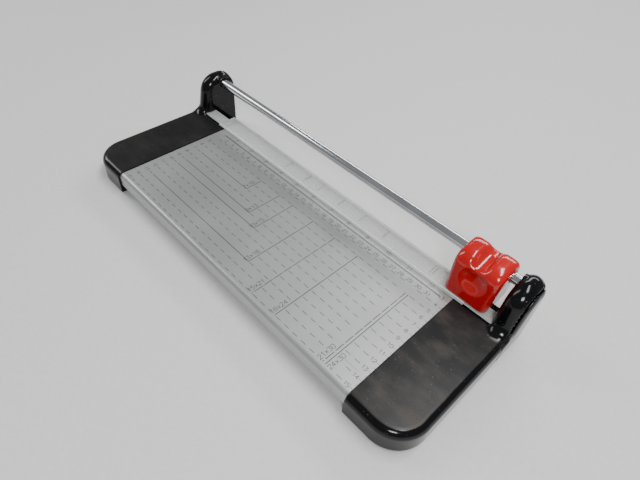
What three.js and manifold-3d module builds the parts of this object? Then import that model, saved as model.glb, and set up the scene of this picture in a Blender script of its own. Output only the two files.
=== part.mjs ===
// Rotary paper trimmer. Millimetres, +Z up, +X along the cut, the user at -Y.
// The assembly's origin is at the middle of its footprint, on the surface it stands on.
// Inside the assembly everything is drawn in the cut frame: y = 0 is the cut line (positive
// behind it) and z = 0 is the top of the cutting table.
import * as THREE from 'three';
import { mergeVertices } from 'three/addons/utils/BufferGeometryUtils.js';
import Module from 'manifold-3d';

const wasm = await Module();
wasm.setup();

// ---- Clearances ------------------------------------------------------------------------------
const FIT_GAP = 0.3; // between fixed pieces that touch on the real object
const RUN_GAP = 0.05; // radial, between a shaft and the piece that runs on it
const FREE_GAP = 1.0; // room round pieces that move past each other
const OVER = 1; // how far a cutting shape reaches past what it cuts

// ---- Fineness --------------------------------------------------------------------------------
const SIDES = { tiny: 12, small: 16, medium: 20, large: 24, fine: 32, blade: 48 };
const STEPS = { nose: 6, noseInside: 4, corner: 8, crown: 6, crownBack: 5, rim: 5, edge: 4, hood: 7 };
const BALL_STEPS = { across: 32, along: 24 };
const WIRE_SIDES = 6;
const COIL_STEPS = 12; // per turn
const EPS = 0.01;

// ---- Pan heads, as shares of the head's radius and height --------------------------------------
const PAN_RIM = 0.45;
const PAN_CROWN = 0.7;
const PAN_SLOT = 0.55;
const PAN_SLOT_HALF = 0.16;
const PAN_SLOT_DEPTH = 0.5;

// ---- Cutting table ---------------------------------------------------------------------------
const TABLE_LENGTH = 330;
const TABLE_FRONT = 157; // front face, forward of the cut line
const TABLE_DEPTH = 14; // height of its front wall
const TABLE_PLATE = 2.2;
const TABLE_NOSE_RADIUS = 5;
const TABLE_ABOVE_GROUND = 25; // top of the table above the surface the trimmer stands on
const SCREW_CHANNEL_WALL = 2;
const SCREW_WEB_HALF = 1;

// ---- Counter knife ---------------------------------------------------------------------------
const KNIFE_LENGTH = TABLE_LENGTH + 24;
const KNIFE_THICKNESS = 2;
const KNIFE_HEIGHT = 11.5;
const GROOVE_LIP = 1.5;
const GROOVE_LIP_HEIGHT = 3.5;

// ---- End caps --------------------------------------------------------------------------------
const CAP_WIDTH = 56.7; // from the table's end to the outer face
const CAP_FRONT = TABLE_FRONT + 2;
const CAP_STEP = 1; // the raised flat stands this much above the table, as the paper stop
const CAP_FLAT_BACK = 24.5; // the raised flat ends here, in front of the clamp strip
const CAP_REAR_DROP = 0.5; // the shelf under the strip's tongue lies this much below the table
const CAP_CORNER_RADIUS = 30;
const CAP_RIM_RADIUS = 7;
const CAP_WALL = 2.6;
const HOLLOW_STEP = 8; // the hollow narrows this far in front of the post's foot
const SLOT_ABOVE = 0.5; // room over the strip's tongue
const SPRING_SHELF_LENGTH = 11;
const SPRING_SHELF_HALF = 5;

// ---- Posts -----------------------------------------------------------------------------------
const POST_THICKNESS = 21.5;
const POST_BACK = 20;
const POST_FRONT = 25;
const POST_FRONT_TOP = 19; // the front leans back to here at the top
const POST_FOOT = 35;
const ROD_ABOVE = 34; // the rod's axis above the table
const ROD_RADIUS = 5;
const POST_HEIGHT = ROD_ABOVE + ROD_RADIUS + 8;
const POST_CROWN_RADIUS = 15;
const POST_CROWN_BACK = 11;
const POST_EDGE_RADIUS = 6;
const POST_LEAN = 10; // degrees
const POST_SUNK = 6; // the post's outline reaches this far into the body
const COVER_THICKNESS = 3.3;
const PEG_RADIUS = 2.4;
const PEG_LENGTH = 9;
const PEG_WALL = 2;
const PEG_PLACES = [
  { y: -11, z: 28 },
  { y: 9, z: 8 },
];

// ---- Guide rod -------------------------------------------------------------------------------
const ROD_BEHIND = 5; // behind the cut line
const ROD_SEAT = 10; // length held in each post
const ROD_BOSS_WALL = 3.5;
const ROD_SCREW_RADIUS = 2.5;
const ROD_SCREW_LENGTH = 14;
const ROD_SCREW_HEAD_RADIUS = 4.2;
const ROD_SCREW_HEAD = 2.8;

// ---- Clamp strip -----------------------------------------------------------------------------
const STRIP_HALF = TABLE_LENGTH / 2 + 9.5;
const STRIP_THICKNESS = 1.5;
const STRIP_LIFT = 1.0; // paper gap under the strip at rest
const STRIP_BACK = 1;
const STRIP_FRONT = 24;
const STRIP_LIP = 2; // width of the bevelled front lip
const STRIP_LIP_TOP = 0.7; // shares of the thickness
const STRIP_LIP_BOTTOM = 0.25;
const TONGUE_BACK = 9;
const TONGUE_FRONT = 22;
const TONGUE_SEAT = 10; // length inside each post
const CLAMP_SPRING_RADIUS = 3.2;
const CLAMP_SPRING_WIRE = 0.45;
const CLAMP_SPRING_HEIGHT = 13;
const CLAMP_SPRING_TURNS = 5;
const CLAMP_SPRING_GAP = 1;

// ---- Feet and screws -------------------------------------------------------------------------
const FOOT_RADIUS = 7;
const FOOT_HEIGHT = 3.5;
const FOOT_PROUD = 1.5; // stands below the end cap
const FOOT_STEM_RADIUS = 2.5;
const FOOT_STEM_LENGTH = 5;
const FOOT_STEM_SPARE = 0.5; // the stem's hole is this much deeper
const FOOT_STEM_TAPER = 0.4;
const FOOT_EDGE = 1;
const FOOT_WALL = 2;
const FOOT_MARGIN = 4;
const FOOT_IN_CORNER = { x: 6, y: 8 }; // from the centre of the cap's corner
const END_SCREW_RADIUS = 2;
const END_SCREW_LENGTH = 14;
const END_SCREW_DEPTH = 8; // below the table's top
const END_SCREW_HEAD_RADIUS = 3.6;
const END_SCREW_HEAD = 2.4;
const END_SCREW_PLACES = { rear: 40, front: 120 }; // forward of the cut line

// ---- Cutting head ----------------------------------------------------------------------------
const HEAD_REST = TABLE_LENGTH / 2 + 7; // head centre at rest, near the right post
const HEAD_HALF = 22.5;
const HEAD_FOOT_HALF = 20.4;
const HEAD_FRONT = 20;
const HEAD_BACK = 17.5;
const HEAD_SHELL_WALL = 2.2;
const HEAD_BOTTOM = 4; // lower front edge of the hood above the table
const HEAD_TOP = ROD_ABOVE + ROD_RADIUS + 8.5;
const HEAD_FLARE = 28; // the sides widen up to this height
const HEAD_CORNER = 5.5;
const HEAD_LEVELS = [0, 12, 24];
const CROWN_LEVELS = [0.3, 0.5, 0.68, 0.8, 0.9, 0.97];
const ROOM_SHARE = 0.8; // of the wall's thickness, behind a curved hollow
const SADDLE_RADIUS = 9;
const SADDLE_FLOOR = ROD_ABOVE + ROD_RADIUS + 2.6;
const THUMB_RADIUS = 20; // of the ball that shapes the hollow
const THUMB_ABOVE = 26;
const THUMB_DEPTH = 3.2;
const HEAD_LEAN = 4; // how far the front leans back from foot to crown
const CROWN_SIDE = 10; // rounding of the crown at the sides
const CROWN_FRONT = 14;
const CROWN_BACK = 8;
const BLADE_RADIUS = 14;
const GUARD_RADIUS = BLADE_RADIUS + 3.5;
const GUARD_FRONT = 1.6;
const GUARD_INSET = 1; // the guard ends this far in front of the hood's back
const OPEN_LIP = 0.5;
const CARRIER_HALF = 16.4;
const CARRIER_FRONT = 12.4;
const CARRIER_BOTTOM = 6;
const CARRIER_DECK = ROD_ABOVE - 7; // top of the carrier's block, under the rod
const LUG_RADIUS = ROD_RADIUS + 3.8;
const LUG_INNER = 8.2;
const LUG_STOP = 1.5;
const LUG_MOUTH = ROD_RADIUS + 0.6; // radius of its inner opening
const LUG_WEB = { front: 8.4, back: 7.4 };
const BUSH_WALL = 2;

// ---- Blade unit ------------------------------------------------------------------------------
const BLADE_THICKNESS = 0.6;
const BLADE_DIP = 3; // the edge reaches this far below the table's top
const BLADE_GAP = 0.25; // to the counter knife
const BLADE_FLOAT = 1.55; // travel of the hub along its axle
const BLADE_GRIND = 1.6; // width of the ground edge
const BLADE_SEAT_GAP = 0.15; // between the blade and the flange or clip beside it
const HUB_RADIUS = 4;
const HUB_FLANGE_RADIUS = 6.5;
const HUB_FLANGE = 1.6;
const HUB_LENGTH = 5.5; // behind the blade
const HUB_STEP = 0.6; // the spring's sleeve is this much thinner
const CLIP_THICKNESS = 1.1;
const CLIP_RADIUS = 6;
const CLIP_EDGE = 0.4;
const AXLE_RADIUS = 2.5;
const AXLE_HEAD_RADIUS = 4.5;
const AXLE_PROUD = 0.6;
const AXLE_EDGE = 0.6;
const AXLE_SLOT_DEPTH = 1;
const AXLE_SLOT_HALF = 0.6;
const AXLE_TIP_WALL = 2;
const BLADE_SPRING_WIRE = 0.4;
const BLADE_SPRING_TURNS = 5;
const BLADE_SPRING_AROUND = 0.6; // from the hub's radius to the middle of the wire
const BLADE_SPRING_ROOM = 1.6;
const BLADE_SPRING_BEHIND = 3.4; // from the hub's end to the spring's back seat
const SHOE_HALF = 15;
const SHOE_BACK = 5;
const SHOE_FRONT = 13;
const SHOE_PEG_RADIUS = 2;
const SHOE_PEG_LENGTH = 4.5;
const SHOE_PEG_ROOM = 5;
const SHOE_PEG_INSET = 4;
const SHOE_BEVEL = 1.2;
const HEAD_SCREW_RADIUS = 1.5;
const HEAD_SCREW_HEAD_RADIUS = 2.8;
const HEAD_SCREW_HEAD = 1.8;
const HEAD_SCREW_LENGTH = 8;
const HEAD_SCREW_SPREAD = 12;
const HEAD_SCREW_ABOVE = 22;

// ---- Derived places --------------------------------------------------------------------------
const GROUND = -TABLE_ABOVE_GROUND;
const CAP_BOTTOM = GROUND + FOOT_PROUD;
const TABLE_END = TABLE_LENGTH / 2;
const CAP_INNER = TABLE_END + FIT_GAP;
const CAP_OUTER = TABLE_END + CAP_WIDTH + FIT_GAP;
const POST_INNER = CAP_OUTER - POST_THICKNESS;
const COVER_INNER = CAP_OUTER - COVER_THICKNESS;
const FOOTPRINT_MIDDLE = (CAP_FRONT - POST_BACK) / 2;
const BLADE_CENTRE = BLADE_RADIUS - BLADE_DIP;
const BLADE_BACK = BLADE_GAP + BLADE_THICKNESS;
const SPRING_SEAT = BLADE_BACK + BLADE_SEAT_GAP + HUB_FLANGE + FIT_GAP;
const HUB_END = BLADE_BACK + BLADE_SEAT_GAP + HUB_LENGTH;
const SPRING_BACK = HUB_END + BLADE_SPRING_BEHIND;
const STRIP_TOP = STRIP_LIFT + STRIP_THICKNESS;
const BUSH_RADIUS = ROD_RADIUS + RUN_GAP + BUSH_WALL;
const BUSH_START = LUG_INNER + LUG_STOP + FIT_GAP;
const GUARD_BACK = HEAD_BACK - GUARD_INSET;
const CARRIER_BACK = GUARD_BACK - HEAD_SHELL_WALL - FIT_GAP;
const SHOE_MIDDLE = -(SHOE_BACK + SHOE_FRONT) / 2;
const TONGUE_MIDDLE = -(TONGUE_BACK + TONGUE_FRONT) / 2;
const ROD_BOSS_END = POST_INNER + ROD_SEAT + ROD_BOSS_WALL;

// ---- Shape helpers ---------------------------------------------------------------------------
const V2 = (x, y) => new THREE.Vector2(x, y);
const V3 = (x, y, z) => new THREE.Vector3(x, y, z);

/** Points of an arc in the drawing plane, angles in degrees. */
function arc(cx, cy, radius, from, to, steps) {
  return Array.from({ length: steps + 1 }, (_, i) => {
    const angle = THREE.MathUtils.degToRad(from + ((to - from) * i) / steps);
    return V2(cx + radius * Math.cos(angle), cy + radius * Math.sin(angle));
  });
}

/** Radius whose polygon of n sides has its flats at the given radius. */
const around = (radius, n) => radius / Math.cos(Math.PI / n);

/** Turns a closed geometry into a manifold solid, leaving out triangles of no area. */
function solid(geometry) {
  const bare = geometry.clone();
  bare.deleteAttribute('normal');
  bare.deleteAttribute('uv');
  const merged = mergeVertices(bare, 1e-4);
  const index = merged.index.array;
  const kept = [];
  for (let i = 0; i < index.length; i += 3) {
    const [a, b, c] = [index[i], index[i + 1], index[i + 2]];
    if (a !== b && b !== c && c !== a) kept.push(a, b, c);
  }
  const vertProperties = new Float32Array(merged.attributes.position.array);
  return new wasm.Manifold(new wasm.Mesh({ numProp: 3, vertProperties, triVerts: new Uint32Array(kept) }));
}

/** Turns a manifold solid back into a geometry. */
function geometryOf(body) {
  const { vertProperties, triVerts } = body.getMesh();
  const geometry = new THREE.BufferGeometry();
  geometry.setAttribute('position', new THREE.BufferAttribute(vertProperties, 3));
  geometry.setIndex(new THREE.BufferAttribute(triVerts, 1));
  geometry.computeVertexNormals();
  return geometry;
}

const union = (first, ...rest) => rest.reduce((body, next) => body.add(next), first);
const minus = (first, ...rest) => rest.reduce((body, next) => body.subtract(next), first);

/** An outline of (y, z) points carried along X. */
function alongX(points, from, to) {
  const settings = { depth: to - from, bevelEnabled: false };
  const geometry = new THREE.ExtrudeGeometry(new THREE.Shape(points), settings);
  geometry.applyMatrix4(new THREE.Matrix4().makeBasis(V3(0, 1, 0), V3(0, 0, 1), V3(1, 0, 0)));
  return geometry.translate(from, 0, 0);
}

/** A box from its two corners. */
function box(x0, x1, y0, y1, z0, z1) {
  const geometry = new THREE.BoxGeometry(x1 - x0, y1 - y0, z1 - z0);
  return geometry.translate((x0 + x1) / 2, (y0 + y1) / 2, (z0 + z1) / 2);
}

/** A round bar along one axis; u and v are its centre on the other two axes, in x, y, z order. */
function bar(axis, radius, from, to, u, v, sides = SIDES.large) {
  const geometry = new THREE.CylinderGeometry(radius, radius, to - from, sides);
  const middle = (from + to) / 2;
  if (axis === 'x') return geometry.rotateZ(-Math.PI / 2).translate(middle, u, v);
  if (axis === 'y') return geometry.translate(u, middle, v);
  return geometry.rotateX(Math.PI / 2).translate(u, v, middle);
}

/** A turned shape along +Y: a profile of (radius, y) points round the line x = u, z = v. */
function turnedY(profile, u, v, sides = SIDES.fine) {
  return new THREE.LatheGeometry(profile.map(([r, y]) => V2(r, y)), sides).translate(u, 0, v);
}

/** The same point list mirrored in x = 0, with the faces turned the right way again. */
function mirrored(geometry) {
  const copy = geometry.clone().scale(-1, 1, 1);
  const flat = copy.index ? copy.toNonIndexed() : copy;
  const positions = flat.attributes.position;
  for (let i = 0; i < positions.count; i += 3) {
    const [b, c] = [i + 1, i + 2].map((k) => V3().fromBufferAttribute(positions, k));
    positions.setXYZ(i + 1, c.x, c.y, c.z);
    positions.setXYZ(i + 2, b.x, b.y, b.z);
  }
  flat.computeVertexNormals();
  return flat;
}

/** A closed skin over rings of equal count, capped flat at both ends. */
function loft(rings, flatten) {
  const count = rings[0].length;
  const faces = [];
  for (let r = 0; r + 1 < rings.length; r++) {
    for (let i = 0; i < count; i++) {
      const [a, b] = [r * count + i, r * count + ((i + 1) % count)];
      faces.push(a, b, b + count, a, b + count, a + count);
    }
  }
  const last = (rings.length - 1) * count;
  for (const [a, b, c] of THREE.ShapeUtils.triangulateShape(rings[0].map(flatten), [])) faces.push(c, b, a);
  for (const [a, b, c] of THREE.ShapeUtils.triangulateShape(rings.at(-1).map(flatten), [])) {
    faces.push(last + a, last + b, last + c);
  }
  const geometry = new THREE.BufferGeometry().setFromPoints(rings.flat());
  geometry.setIndex(faces);
  geometry.computeVertexNormals();
  return geometry;
}

/** Moves each point of a closed counter-clockwise outline inwards by a distance. */
function inset(points, distance) {
  return points.map((point, i) => {
    const before = points[(i + points.length - 1) % points.length];
    const after = points[(i + 1) % points.length];
    const into = point.clone().sub(before).normalize();
    const out = after.clone().sub(point).normalize();
    const bisector = V2(-into.y - out.y, into.x + out.x);
    const scale = (2 * distance) / bisector.lengthSq();
    return point.clone().add(bisector.multiplyScalar(scale));
  });
}

/** Layers of a rounded edge: how far in, and how far from the end, for each step. */
function rounding(radius, steps) {
  return Array.from({ length: steps + 1 }, (_, i) => {
    const angle = (Math.PI / 2) * (i / steps);
    return { inwards: radius * (1 - Math.sin(angle)), along: radius * (1 - Math.cos(angle)) };
  });
}

/** A coil spring that stands on `base` along +Z, as one bent wire. */
function coil(radius, wire, height, turns) {
  class Helix extends THREE.Curve {
    getPoint(t, target = V3()) {
      const angle = 2 * Math.PI * turns * t;
      return target.set(radius * Math.cos(angle), radius * Math.sin(angle), wire + (height - 2 * wire) * t);
    }
  }
  const section = new THREE.Shape(arc(0, 0, wire, 0, 360 - 360 / WIRE_SIDES, WIRE_SIDES - 1));
  const settings = { steps: turns * COIL_STEPS, extrudePath: new Helix(), bevelEnabled: false };
  return new THREE.ExtrudeGeometry(section, settings);
}

/** A pan-head screw along +X whose head rests on x = 0, with a cross recess. */
function screwX(radius, length, headRadius, headHeight) {
  const shank = bar('x', radius, -headHeight / 2, length, 0, 0, SIDES.small);
  const profile = [
    V2(0, 0), V2(headRadius, 0), V2(headRadius, headHeight * PAN_RIM),
    V2(headRadius * PAN_CROWN, headHeight), V2(0, headHeight),
  ];
  const head = new THREE.LatheGeometry(profile, SIDES.medium).rotateZ(Math.PI / 2);
  const slot = headRadius * PAN_SLOT;
  const width = headRadius * PAN_SLOT_HALF;
  const floor = -headHeight * (1 - PAN_SLOT_DEPTH);
  return minus(
    union(solid(head), solid(shank)),
    solid(box(-headHeight - OVER, floor, -slot, slot, -width, width)),
    solid(box(-headHeight - OVER, floor, -width, width, -slot, slot)),
  );
}

// ---- Materials and nodes ---------------------------------------------------------------------
const FINISHES = {
  aluminium: { color: 0xc9cccb, roughness: 0.42, metalness: 0.85 },
  steel: { color: 0xb9bcc0, roughness: 0.28, metalness: 1 },
  chrome: { color: 0xe4e6e8, roughness: 0.08, metalness: 1 },
  blackPlastic: { color: 0x141416, roughness: 0.28, metalness: 0 },
  redPlastic: { color: 0xc4140c, roughness: 0.16, metalness: 0 },
  clearPlastic: { color: 0xdfe3df, roughness: 0.12, metalness: 0, transparent: true, opacity: 0.35 },
  whitePlastic: { color: 0xe6e4dc, roughness: 0.4, metalness: 0 },
  rubber: { color: 0x1b1b1c, roughness: 0.85, metalness: 0 },
};

/** A named node with its own material. */
function node(name, shape, finish) {
  const geometry = shape.isBufferGeometry ? shape : geometryOf(shape);
  const mesh = new THREE.Mesh(geometry, new THREE.MeshStandardMaterial(FINISHES[finish]));
  mesh.name = name;
  return mesh;
}

// ---- Table and knife -------------------------------------------------------------------------

/** The extruded table: plate, rounded front wall, screw channels and the knife's groove. */
function makeTable() {
  const rear = -KNIFE_THICKNESS - FIT_GAP;
  const bottom = -TABLE_DEPTH;
  const inner = TABLE_NOSE_RADIUS - TABLE_PLATE;
  const wall = TABLE_PLATE;
  const grooveFloor = -KNIFE_HEIGHT - FIT_GAP;
  const outline = [
    V2(rear, 0),
    ...arc(-TABLE_FRONT + TABLE_NOSE_RADIUS, -TABLE_NOSE_RADIUS, TABLE_NOSE_RADIUS, 90, 180, STEPS.nose),
    V2(-TABLE_FRONT, bottom),
    V2(-TABLE_FRONT + wall, bottom),
    ...arc(-TABLE_FRONT + TABLE_NOSE_RADIUS, -TABLE_NOSE_RADIUS, inner, 180, 90, STEPS.noseInside),
    V2(rear - wall, -wall),
    V2(rear - wall, grooveFloor - wall),
    V2(FIT_GAP + GROOVE_LIP, grooveFloor - wall),
    V2(FIT_GAP + GROOVE_LIP, grooveFloor + GROOVE_LIP_HEIGHT),
    V2(FIT_GAP, grooveFloor + GROOVE_LIP_HEIGHT),
    V2(FIT_GAP, grooveFloor),
    V2(rear, grooveFloor),
  ];
  const half = TABLE_END;
  let table = solid(alongX(outline, -half, half));
  for (const place of Object.values(END_SCREW_PLACES)) {
    const bore = around(END_SCREW_RADIUS + FIT_GAP, SIDES.small);
    const along = (radius, reach) =>
      bar('x', radius, -reach, reach, -place, -END_SCREW_DEPTH, SIDES.small);
    const web = box(
      -half, half, -place - SCREW_WEB_HALF, -place + SCREW_WEB_HALF, -END_SCREW_DEPTH, -wall / 2,
    );
    table = union(table, solid(web), solid(along(bore + SCREW_CHANNEL_WALL, half)));
    table = minus(table, solid(along(bore, half + OVER)));
  }
  return table;
}

const makeKnife = () =>
  box(-KNIFE_LENGTH / 2, KNIFE_LENGTH / 2, -KNIFE_THICKNESS, 0, -KNIFE_HEIGHT, 0);

// ---- End caps --------------------------------------------------------------------------------

/** Plan outline of the end cap's body, moved in from its front and outer walls. */
function capOutline(inwards) {
  const outer = CAP_OUTER - inwards;
  const front = -CAP_FRONT + inwards;
  const radius = CAP_CORNER_RADIUS - inwards;
  return [
    V2(CAP_INNER, -EPS),
    V2(CAP_INNER, front),
    ...arc(outer - radius, front + radius, radius, -90, 0, STEPS.corner),
    V2(outer, -EPS),
  ];
}

/** Plan outline of the room inside the end cap's body. */
function hollowOutline(inwards) {
  const rear = -KNIFE_THICKNESS - FIT_GAP - CAP_WALL;
  const postFront = -POST_FOOT - HOLLOW_STEP;
  const outer = CAP_OUTER - inwards;
  const front = -CAP_FRONT + inwards;
  const radius = CAP_CORNER_RADIUS - inwards;
  return [
    V2(CAP_INNER + CAP_WALL, rear),
    V2(CAP_INNER + CAP_WALL, front),
    ...arc(outer - radius, front + radius, radius, -90, 0, STEPS.corner),
    V2(outer, postFront),
    V2(POST_INNER - FIT_GAP, postFront),
    V2(POST_INNER - FIT_GAP, rear),
  ];
}

/** Side outline of the post, counter-clockwise, with a flared foot at the front. */
function postOutline() {
  const top = POST_HEIGHT;
  const crown = POST_CROWN_RADIUS;
  const crownBack = POST_CROWN_BACK;
  const flare = POST_FOOT - POST_FRONT;
  const step = CAP_STEP;
  return [
    V2(-POST_FOOT - POST_SUNK, step - POST_SUNK),
    V2(-POST_FOOT - POST_SUNK, CAP_BOTTOM),
    V2(POST_BACK, CAP_BOTTOM),
    ...arc(POST_BACK - crownBack, top - crownBack, crownBack, 0, 90, STEPS.crownBack),
    ...arc(-POST_FRONT_TOP + crown, top - crown, crown, 90, 180 - POST_LEAN, STEPS.crown),
    ...arc(-POST_FOOT, step + flare, flare, 0, -90, STEPS.crown),
  ];
}

/** Post and cap body as one closed outside shape, before hollowing. */
function capOutside() {
  const top = CAP_STEP;
  const rim = rounding(CAP_RIM_RADIUS, STEPS.rim);
  const levels = [{ inwards: 0, z: CAP_BOTTOM }];
  for (const { inwards, along } of [...rim].reverse()) levels.push({ inwards, z: top - along });
  const body = loft(
    levels.map(({ inwards, z }) => capOutline(inwards).map((p) => V3(p.x, p.y, z))),
    (p) => V2(p.x, p.y),
  );
  const side = postOutline();
  const edge = rounding(POST_EDGE_RADIUS, STEPS.edge);
  const slices = [
    ...edge.map(({ inwards, along }) => ({ inwards, x: POST_INNER + along })),
    ...[...edge].reverse().map(({ inwards, along }) => ({ inwards, x: CAP_OUTER - along })),
  ];
  const post = loft(
    slices.map(({ inwards, x }) => inset(side, inwards).map((p) => V3(x, p.x, p.y))),
    (p) => V2(p.y, p.z),
  );
  const belowGround = box(
    CAP_INNER - OVER, CAP_OUTER + OVER, -CAP_FRONT - OVER, POST_BACK + OVER, 2 * GROUND, CAP_BOTTOM,
  );
  return minus(union(solid(body), solid(post)), solid(belowGround));
}

const FOOT_PLACES = {
  front: {
    x: CAP_OUTER - CAP_CORNER_RADIUS + FOOT_IN_CORNER.x,
    y: -CAP_FRONT + CAP_CORNER_RADIUS - FOOT_IN_CORNER.y,
  },
  rear: {
    x: CAP_INNER + CAP_WALL + FOOT_RADIUS + FOOT_MARGIN,
    y: -TONGUE_FRONT - FOOT_RADIUS - FOOT_MARGIN,
  },
};

/** The room inside the end cap's body, open below. */
function bodyHollow() {
  const roof = -CAP_REAR_DROP - CAP_WALL;
  const rim = rounding(CAP_RIM_RADIUS - CAP_WALL, STEPS.edge);
  const levels = [{ inwards: 0, z: CAP_BOTTOM - OVER }];
  for (const { inwards, along } of rim.reverse()) levels.push({ inwards, z: roof - along });
  return loft(
    levels.map(({ inwards, z }) => hollowOutline(CAP_WALL + inwards).map((p) => V3(p.x, p.y, z))),
    (p) => V2(p.x, p.y),
  );
}

/** The rooms cut out of the end cap: shelf, knife seat, both hollows, the cover's place, slot. */
function capRooms() {
  const postHollow = alongX(inset(postOutline(), CAP_WALL), POST_INNER + CAP_WALL, CAP_OUTER + OVER);
  const shelf = box(
    CAP_INNER - OVER, POST_INNER, -CAP_FLAT_BACK, OVER, -CAP_REAR_DROP, CAP_STEP + OVER,
  );
  const knifeSeat = box(
    CAP_INNER - OVER, KNIFE_LENGTH / 2 + FIT_GAP,
    -KNIFE_THICKNESS - FIT_GAP, OVER, -KNIFE_HEIGHT - FIT_GAP, OVER,
  );
  const coverRoom = box(
    COVER_INNER - FIT_GAP, CAP_OUTER + OVER, -POST_FOOT, POST_BACK + OVER,
    CAP_BOTTOM - OVER, POST_HEIGHT + OVER,
  );
  const slot = box(
    POST_INNER - OVER, POST_INNER + CAP_WALL + OVER,
    -TONGUE_FRONT - FIT_GAP, -TONGUE_BACK + FIT_GAP, -CAP_REAR_DROP, STRIP_TOP + SLOT_ABOVE,
  );
  return [bodyHollow(), shelf, knifeSeat, postHollow, coverRoom, slot];
}

/** What stands inside the end cap: rod boss, spring shelf, peg sockets and foot pillars. */
function capBosses() {
  const from = POST_INNER + CAP_WALL / 2;
  const bossRadius = ROD_RADIUS + FIT_GAP + ROD_BOSS_WALL;
  const seatTop = STRIP_LIFT - CLAMP_SPRING_HEIGHT - FIT_GAP;
  const pillarTop = -CAP_REAR_DROP - CAP_WALL + OVER;
  return [
    bar('x', bossRadius, from, ROD_BOSS_END, ROD_BEHIND, ROD_ABOVE, SIDES.medium),
    box(
      from, POST_INNER + CAP_WALL + SPRING_SHELF_LENGTH,
      TONGUE_MIDDLE - SPRING_SHELF_HALF, TONGUE_MIDDLE + SPRING_SHELF_HALF,
      seatTop - CAP_WALL, seatTop,
    ),
    ...PEG_PLACES.map(({ y, z }) =>
      bar('x', PEG_RADIUS + PEG_WALL, from, COVER_INNER - PEG_WALL, y, z, SIDES.small)),
    ...Object.values(FOOT_PLACES).map(({ x, y }) =>
      bar('z', FOOT_RADIUS + FOOT_WALL, CAP_BOTTOM, pillarTop, x, y, SIDES.large)),
  ];
}

/** The holes in the end cap: rod and its screw, pegs, end screws, feet and their stems. */
function capHoles() {
  const rodHole = around(ROD_RADIUS + RUN_GAP, SIDES.fine);
  const rodSeat = POST_INNER + ROD_SEAT + FIT_GAP;
  const pegHole = around(PEG_RADIUS + FIT_GAP, SIDES.small);
  const screwHole = around(END_SCREW_RADIUS + FIT_GAP, SIDES.small);
  const footHole = around(FOOT_RADIUS + FIT_GAP, SIDES.large);
  const pocket = CAP_BOTTOM + FOOT_HEIGHT - FOOT_PROUD + FIT_GAP;
  const stemEnd = pocket + FOOT_STEM_LENGTH;
  const low = CAP_BOTTOM - OVER;
  return [
    bar('x', rodHole, POST_INNER - OVER, rodSeat, ROD_BEHIND, ROD_ABOVE, SIDES.fine),
    bar('x', ROD_SCREW_RADIUS + FIT_GAP, POST_INNER, ROD_BOSS_END + OVER, ROD_BEHIND, ROD_ABOVE, SIDES.small),
    ...PEG_PLACES.map(({ y, z }) =>
      bar('x', pegHole, POST_INNER + CAP_WALL, COVER_INNER, y, z, SIDES.small)),
    ...Object.values(END_SCREW_PLACES).map((place) =>
      bar('x', screwHole, CAP_INNER - OVER, CAP_INNER + CAP_WALL + OVER,
        -place, -END_SCREW_DEPTH, SIDES.small)),
    ...Object.values(FOOT_PLACES).flatMap(({ x, y }) => [
      bar('z', footHole, low, pocket, x, y, SIDES.large),
      bar('z', FOOT_STEM_RADIUS + FIT_GAP, low, stemEnd, x, y, SIDES.tiny),
    ]),
  ];
}

/** The right end cap: hollow body and post with the seats for rod, strip, spring, feet and cover. */
function makeCap() {
  const shell = minus(capOutside(), ...capRooms().map(solid));
  const filled = union(shell, ...capBosses().map(solid));
  return geometryOf(minus(filled, ...capHoles().map(solid)));
}

/** The post's outer cover: the outermost slice of post and body, with two pegs. */
function makeCover() {
  const slice = box(
    COVER_INNER, CAP_OUTER + OVER, -POST_FOOT + FIT_GAP, POST_BACK + OVER,
    CAP_BOTTOM - OVER, POST_HEIGHT + OVER,
  );
  const pegs = PEG_PLACES.map(({ y, z }) =>
    solid(bar('x', PEG_RADIUS, COVER_INNER - PEG_LENGTH, COVER_INNER + OVER, y, z, SIDES.small)));
  return geometryOf(union(capOutside().intersect(solid(slice)), ...pegs));
}

// ---- Rod, strip, springs, feet ---------------------------------------------------------------

/** The guide rod, with a tapped hole in each end. */
function makeRod() {
  const end = POST_INNER + ROD_SEAT;
  const hole = around(ROD_SCREW_RADIUS + RUN_GAP, SIDES.small);
  const floor = end - ROD_SCREW_LENGTH;
  return minus(
    solid(bar('x', ROD_RADIUS, -end, end, 0, 0, SIDES.fine)),
    solid(bar('x', hole, floor, end + OVER, 0, 0, SIDES.small)),
    solid(bar('x', hole, -end - OVER, -floor, 0, 0, SIDES.small)),
  );
}

/** The clear strip: a wide middle with a bevelled front lip, and a tongue at each end. */
function makeStrip() {
  const top = STRIP_THICKNESS;
  const middle = alongX(
    [
      V2(-STRIP_BACK, 0),
      V2(-STRIP_BACK, top),
      V2(-STRIP_FRONT + STRIP_LIP, top),
      V2(-STRIP_FRONT, top * STRIP_LIP_TOP),
      V2(-STRIP_FRONT, top * STRIP_LIP_BOTTOM),
      V2(-STRIP_FRONT + STRIP_LIP / 2, 0),
    ],
    -STRIP_HALF,
    STRIP_HALF,
  );
  const reach = POST_INNER + TONGUE_SEAT;
  const tongues = box(-reach, reach, -TONGUE_FRONT, -TONGUE_BACK, 0, top);
  return union(solid(middle), solid(tongues));
}

const makeClampSpring = () =>
  coil(CLAMP_SPRING_RADIUS, CLAMP_SPRING_WIRE, CLAMP_SPRING_HEIGHT - FIT_GAP, CLAMP_SPRING_TURNS);

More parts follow.
